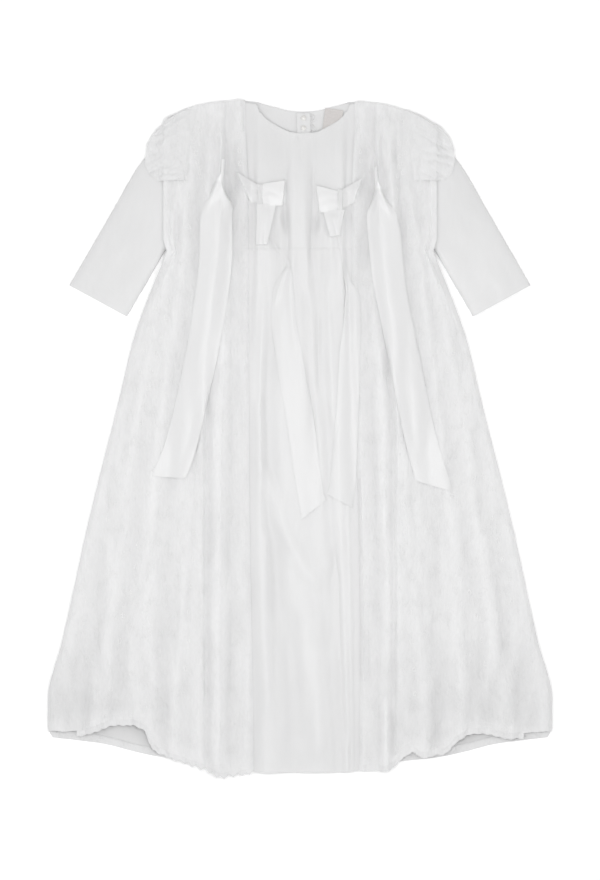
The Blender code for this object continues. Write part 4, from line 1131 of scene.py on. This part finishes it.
for side, bow in BOWS.items():
    band_x, band_y = (v * MM for v in bow["band"])
    tops = []
    for seed, which in enumerate(("inner", "outer", "lower")):
        *corners, height = bow[which]
        base = LOOP_BASES[which]
        points = loop_points(corners, 0.42 * height * MM, base, seed + 0.37 * SIDES[side])
        if which != "lower":
            tops.append(points[-1, :, 2].max())
        name = f"bow_{side}_{which}_loop"
        grid_piece(f"{name}_satin", points, LOOP_LOOKS[which], RIBBON_WALL)
        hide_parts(name)
    around_band = np.radians(np.linspace(-10, 190, 33))[:, None]
    along = np.linspace(-1, 1, 25)[None, :]
    half_width = (3.4 - 0.7 * (1 - along**2)) * MM
    x = band_x + half_width * np.cos(around_band)
    y = np.broadcast_to(band_y + 11.8 * MM * along, x.shape)
    pleat = 0.25 * MM * np.sin(3.5 * math.pi * np.cos(around_band)) * (0.6 + 0.4 * along**2)
    z = max(tops) + 0.1 * MM + (1.3 * MM - 0.9 * MM * along**2) * np.sin(around_band) + pleat
    name = f"bow_{side}_knot"
    grid_piece(f"{name}_satin", np.dstack([x, y, z]), RIBBON, RIBBON_WALL)
    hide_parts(name)

# Painted shade of the folds
# Each sheet keeps how far it lies under the mean height round it, and its finish reads that to paint its
# colour darker deep in a fold and lighter on a ridge.
CELL = 2 * MM
REACH_IN_CELLS = 9
# Places with painted shade beside the ties, under the bows and in the hem corners, and painted light where
# the depth added is negative: start, middle, end, half width, millimetres of depth to add
PAINTED_SHADE_PLACES = (
    ((-250, -215), (-250, -300), (-250, -385), 75.0, 0.6),
    ((-250, -245), (-250, -300), (-250, -385), 75.0, 0.8),
    ((-250, -275), (-250, -300), (-250, -385), 80.0, 0.9),
    ((190, -215), (190, -300), (190, -385), 105.0, 0.6),
    ((185, -245), (185, -300), (185, -385), 105.0, 0.7),
    ((180, -275), (180, -300), (180, -385), 105.0, 0.8),
    ((-69, 325), (-69, 295), (-67, 200), 8.0, 1.8),
    ((69, 325), (69, 295), (68, 190), 8.0, 1.8),
    ((-66, 240), (-66, 210), (-63, 120), 4.0, 1.0),
    ((65, 235), (65, 205), (62, 120), 4.0, 1.0),
    ((-18.5, 256), (-18, 242), (-17, 228), 4.5, 3.5),
    ((19.5, 250), (19, 238), (18, 226), 3.5, 3.0),
    ((-53, 275), (-53, 0), (-53, -310), 6.0, -1.5),
    ((53, 310), (53, 230), (53, 190), 6.0, -1.5),
    ((-35, -115), (-35, -170), (-35, -220), 8.0, -1.5),
)
table_x = np.arange(-290 * MM, 291 * MM, CELL)
table_y = np.arange(-390 * MM, 391 * MM, CELL)
dress_tree = under_tree(
    [*lace_points.values(), bodice_points, skirt_points, *tail_points.values(), *sleeve_points.values()]
)
heights = heights_on(dress_tree, *np.meshgrid(table_x, table_y), otherwise=0.0)
on_dress = (heights > 0).astype(float)
levels = around(heights, REACH_IN_CELLS, REACH_IN_CELLS, np.mean)
# The floor round the dress counts only in part
levels /= mix(1.0, around(on_dress, REACH_IN_CELLS, REACH_IN_CELLS, np.mean), 0.6)
# Each sheet's hollow depth, which its finish turns into painted shade and a painted highlight
for piece in (bodice_front, skirt_front, *lace_fronts.values(), skirt_back):
    places = np.array([vert.co for vert in piece.data.vertices])
    column = (places[:, 0] - table_x[0]) / CELL
    row = (places[:, 1] - table_y[0]) / CELL
    i, j = column.astype(int), row.astype(int)
    upper = mix(levels[j, i], levels[j, i + 1], column - i)
    lower = mix(levels[j + 1, i], levels[j + 1, i + 1], column - i)
    hollow = (mix(upper, lower, row - j) - places[:, 2]) / MM
    # Painted shade and painted light at the listed places
    hollow += creases(places[:, 0], places[:, 1], PAINTED_SHADE_PLACES) / MM
    piece.data.attributes.new("hollow", "FLOAT", "POINT").data.foreach_set("value", hollow)

# Back fastening
# A satin strip runs down inside the back opening. It carries two small pearl buttons, and thread
# loops are sewn beside it.
PLACKET = (-3.5, 11.5, 214.0, 359.0)
PLACKET_Z = SATIN_BACK_Z + LAYER
BUTTON_X = 4.0 * MM
BUTTON_YS = (353.5 * MM, 342.5 * MM)
# Button outline, turned about its middle: distance out, height
BUTTON_PROFILE = (
    (0.0, 2.0), (0.7, 1.96), (1.3, 1.82), (1.8, 1.58), (2.2, 1.25), (2.45, 1.1), (2.65, 1.12), (2.85, 0.95),
    (2.9, 0.7), (2.75, 0.35), (2.3, 0.1), (1.2, 0.02), (0.0, 0.0),
)


def turned(name, profile, centre, look, segments=40):
    bm = bmesh.new()
    verts = [bm.verts.new((r * MM, 0.0, z * MM)) for r, z in profile]
    edges = [bm.edges.new(pair) for pair in zip(verts, verts[1:])]
    bmesh.ops.spin(bm, geom=verts + edges, axis=(0, 0, 1), cent=(0, 0, 0), angle=2 * math.pi, steps=segments)
    bmesh.ops.remove_doubles(bm, verts=bm.verts, dist=0.01 * MM)
    bmesh.ops.recalc_face_normals(bm, faces=bm.faces)
    bmesh.ops.translate(bm, vec=centre, verts=bm.verts)
    return new_piece(name, bm, look)


def add_tube(bm, path, radius, sides=7):
    """A round strand along an array of points, closed at its ends and narrower there."""
    path = np.asarray(path, float)
    along = np.gradient(path, axis=0)
    along /= np.linalg.norm(along, axis=1)[:, None]
    up = np.array([0.0, 0.0, 1.0])
    across = np.cross(along, up)
    across /= np.maximum(np.linalg.norm(across, axis=1), 1e-9)[:, None]
    lift = np.cross(across, along)
    rings = []
    for k, centre in enumerate(path):
        size = radius * (0.6 if k in (0, len(path) - 1) else 1.0)
        ring = []
        for s in range(sides):
            angle = 2 * math.pi * s / sides
            outward = math.cos(angle) * across[k] + math.sin(angle) * lift[k]
            ring.append(bm.verts.new(centre + size * outward))
        rings.append(ring)
    for a, b in zip(rings, rings[1:]):
        for s in range(sides):
            bm.faces.new((a[s], a[(s + 1) % sides], b[(s + 1) % sides], b[s]))
    bm.faces.new(rings[0][::-1])
    bm.faces.new(rings[-1])


def twisted(bm, path, radius, turns):
    """Two strands wound round each other along a path."""
    path = np.asarray(path, float)
    along = np.gradient(path, axis=0)
    along /= np.linalg.norm(along, axis=1)[:, None]
    across = np.cross(along, [0.0, 0.0, 1.0])
    angle = np.linspace(0, 2 * math.pi * turns, len(path))
    for start in (0.0, math.pi):
        offset = across * np.cos(angle + start)[:, None] * radius
        offset[:, 2] += np.sin(angle + start) * radius
        add_tube(bm, path + offset, radius * 1.05, 6)


left, right, bottom, top = (v * MM for v in PLACKET)
xs, ys = np.meshgrid(np.linspace(left, right, 15), np.linspace(top, bottom, 90))
turned_in = smooth(np.minimum(xs - left, right - xs) / (1.2 * MM))
z = PLACKET_Z + 0.62 * MM + 0.2 * MM * turned_in + 0.12 * MM * streaks(xs, ys, 6 * MM, 14 * MM, 2.0)
placket = grid_piece("back_placket_satin", np.dstack([xs, ys, z]), SATIN, 0.55 * MM)
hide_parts("back_placket")
for number, y in enumerate(BUTTON_YS, 1):
    centre = (BUTTON_X, y, PLACKET_Z + 1.0 * MM)
    button = turned(f"pearl_button_{number}", BUTTON_PROFILE, centre, PEARL)
    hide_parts(f"back_button_{number}")
    angle = np.radians(np.linspace(-96, 96, 70))
    path = np.stack([
        right + SEAM_GAP + 0.5 * MM + 3.6 * MM * np.cos(angle), y + 3.4 * MM * np.sin(angle),
        np.full(70, PLACKET_Z + 0.62 * MM),
    ], axis=1)
    bm = bmesh.new()
    twisted(bm, path, 0.27 * MM, 9)
    loop = new_piece(f"thread_loop_{number}", bm, THREAD)
    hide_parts(f"button_loop_{number}")

# Neck label
# A small woven label lies tilted inside the back neck. It is bare, with a plain woven border, and
# is sewn down along its two short ends.
LABEL_CENTRE = (36 * MM, 351 * MM)
LABEL_SIZE = (20 * MM, 25 * MM)
LABEL_TILT = math.radians(-8)
label_x, label_y = np.meshgrid(
    np.linspace(-0.5, 0.5, 41) * LABEL_SIZE[0], np.linspace(0.5, -0.5, 51) * LABEL_SIZE[1]
)
from_side = LABEL_SIZE[0] / 2 - np.abs(label_x)
from_end = LABEL_SIZE[1] / 2 - np.abs(label_y)
border = bell(from_side - 1.6 * MM, 0.35 * MM) + bell(from_side - 2.6 * MM, 0.25 * MM)
z = PLACKET_Z + 0.55 * MM + 0.1 * MM * border + 0.1 * MM * streaks(label_x, label_y, 8 * MM, 8 * MM, 6.0)
z -= 0.12 * MM * bell(from_end - 1.2 * MM, 0.5 * MM)
cos_tilt, sin_tilt = math.cos(LABEL_TILT), math.sin(LABEL_TILT)
label_points = np.dstack([
    LABEL_CENTRE[0] + label_x * cos_tilt - label_y * sin_tilt,
    LABEL_CENTRE[1] + label_x * sin_tilt + label_y * cos_tilt,
    z,
])
label = grid_piece("neck_label_woven", label_points, LABEL, 0.35 * MM)
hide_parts("neck_label")

# Embroidery
# Small raised sprigs of leaves are worked on the lace in loose columns, thickest at the shoulders
# and along the sides. They are thread, joined into one piece on each side.
SPRIG_COLUMNS = (
    # top and bottom height, distance from the middle at each, spacing, share left out
    (352, 292, 121, 112, 11.0, 0.00),
    (350, 240, 112, 104, 12.0, 0.10),
    (286, 215, 124, 120, 15.0, 0.15),
    (214, -60, 128, 196, 19.0, 0.20),
    (190, -200, 146, 240, 22.0, 0.25),
    (20, -300, 150, 214, 26.0, 0.30),
    (-40, -310, 112, 128, 30.0, 0.35),
    (345, 305, 66, 67, 13.0, 0.10),
)
# Leaves of a sprig: place across and up (mm), turn in degrees
LEAVES = (
    (0.0, 2.6, 0.0), (1.3, 1.2, 38.0), (-1.3, 1.2, -38.0), (1.5, -0.6, 52.0), (-1.5, -0.6, -52.0),
    (1.1, -2.3, 64.0), (-1.1, -2.3, -64.0),
)


def add_leaf(bm, centre, angle, length, width, height):
    """A raised leaf shape: a flattened pointed dome of satin stitch."""
    ring_at = np.linspace(0, 2 * math.pi, 10, endpoint=False)
    ca, sa = math.cos(angle), math.sin(angle)
    levels = []
    for level, rise in ((1.0, 0.0), (0.72, 0.7)):
        ring = []
        for a in ring_at:
            u = level * width / 2 * math.sin(a) * (1 - 0.35 * abs(math.cos(a)))
            v = level * length / 2 * math.cos(a)
            ring.append(bm.verts.new(centre + Vector((u * ca + v * sa, v * ca - u * sa, rise * height))))
        levels.append(ring)
    crest = bm.verts.new(centre + Vector((0, 0, height)))
    foot = bm.verts.new(centre + Vector((0, 0, -0.3 * height)))
    for k in range(10):
        n = (k + 1) % 10
        bm.faces.new((levels[0][n], levels[0][k], levels[1][k], levels[1][n]))
        bm.faces.new((levels[1][n], levels[1][k], crest))
        bm.faces.new((levels[0][k], levels[0][n], foot))


chance = random.Random(5)
lace_tree = under_tree(lace_points.values())
for side, sign in SIDES.items():
    bm = bmesh.new()
    for high, low, out_top, out_low, spacing, left_out in SPRIG_COLUMNS:
        count = int((high - low) / spacing)
        for k in range(count + 1):
            share = k / max(count, 1)
            if chance.random() < left_out:
                continue
            x = sign * (mix(out_top, out_low, share) + chance.uniform(-1.5, 1.5)) * MM
            y = (mix(high, low, share) + chance.uniform(-2, 2)) * MM
            turn = math.radians(chance.uniform(-14, 14))
            size = chance.uniform(0.8, 1.1)
            for leaf_x, leaf_y, leaf_turn in LEAVES:
                u, v = leaf_x * size * MM, leaf_y * size * MM
                px = x + u * math.cos(turn) + v * math.sin(turn)
                py = y + v * math.cos(turn) - u * math.sin(turn)
                hit, normal, _, _ = lace_tree.ray_cast(Vector((px, py, CAST_HEIGHT)), Vector((0, 0, -1)))
                if hit is None or abs(normal.z) < 0.75:
                    continue
                leaf_turn = turn + math.radians(leaf_turn)
                add_leaf(bm, hit, leaf_turn, 2.5 * size * MM, 1.15 * size * MM, 0.34 * MM)
    bmesh.ops.recalc_face_normals(bm, faces=bm.faces)
    new_piece(f"embroidery_{side}", bm, THREAD)

# Stitching
# Fine running stitches hold the neck facing, the header of the pointed edging, the
# lace's front edges and the label. Each line is one piece of short strands pressed into the cloth.
STITCH_RADIUS = 0.16 * MM
STITCH_LIFT = [0, 0, 0.05 * MM]


def along_line(points, spacing):
    """Even places along a line, with the direction at each."""
    points = np.asarray(points, float)
    run = np.concatenate([[0], np.cumsum(np.linalg.norm(np.diff(points, axis=0), axis=1))])
    at = np.arange(spacing / 2, run[-1], spacing)
    places, ahead, behind = (
        np.stack([np.interp(at + step * spacing, run, points[:, c]) for c in range(3)], axis=1)
        for step in (0.0, 0.4, -0.4)
    )
    direction = ahead - behind
    return places, direction / np.linalg.norm(direction, axis=1)[:, None]


def stitch_line(name, points, length=1.7 * MM, spacing=2.6 * MM, radius=STITCH_RADIUS):
    bm = bmesh.new()
    for place, direction in zip(*along_line(points + STITCH_LIFT, spacing)):
        step = direction * length / 2
        sink = np.array([0.0, 0.0, radius * 0.8])
        path = [place - step - sink, place - 0.5 * step, place + 0.5 * step, place + step - sink]
        add_tube(bm, path, radius, 5)
    bmesh.ops.recalc_face_normals(bm, faces=bm.faces)
    return new_piece(name, bm, THREAD)


neck_columns = np.abs(bodice_points[0, :, 0] - NECK_CENTRE_X) < 46.5 * MM
for name, row in (("neck_stitches_upper", 1), ("neck_stitches_lower", 4)):
    stitch_line(name, bodice_points[row, neck_columns])
for side, sign in SIDES.items():
    front = lace_points[side][3:-3:2, 3]
    stitch_line(f"front_edge_stitches_{side}", front, spacing=3.0 * MM)
    for k, lift in enumerate((-2, -4)):
        hem = lace_points[side][lift, :-10]
        stitch_line(f"hem_stitches_{side}_{k + 1}", hem, spacing=2.4 * MM)
for k, end in enumerate((3, -4)):
    edge = label_points[end, 1:-1]
    stitch_line(f"label_stitches_{k + 1}", edge, 1.2 * MM, 1.9 * MM, 0.12 * MM)

# Cloth sizes
# Each sheet of cloth is declared with the size it was cut to before it was sewn and laid flat:
# width and length in metres, and its flat area in square metres where it isn't a rectangle.
TAIL_CUTS = {
    "left_outer": ((0.038, 0.364), 0.0119), "left_inner": ((0.036, 0.324), 0.0077),
    "right_inner": ((0.032, 0.307), 0.0060), "right_outer": ((0.039, 0.366), 0.0119),
}
for name, (flat, area) in TAIL_CUTS.items():
    under = lace_fronts[name.split("_")[0]] if name.endswith("outer") else skirt_front
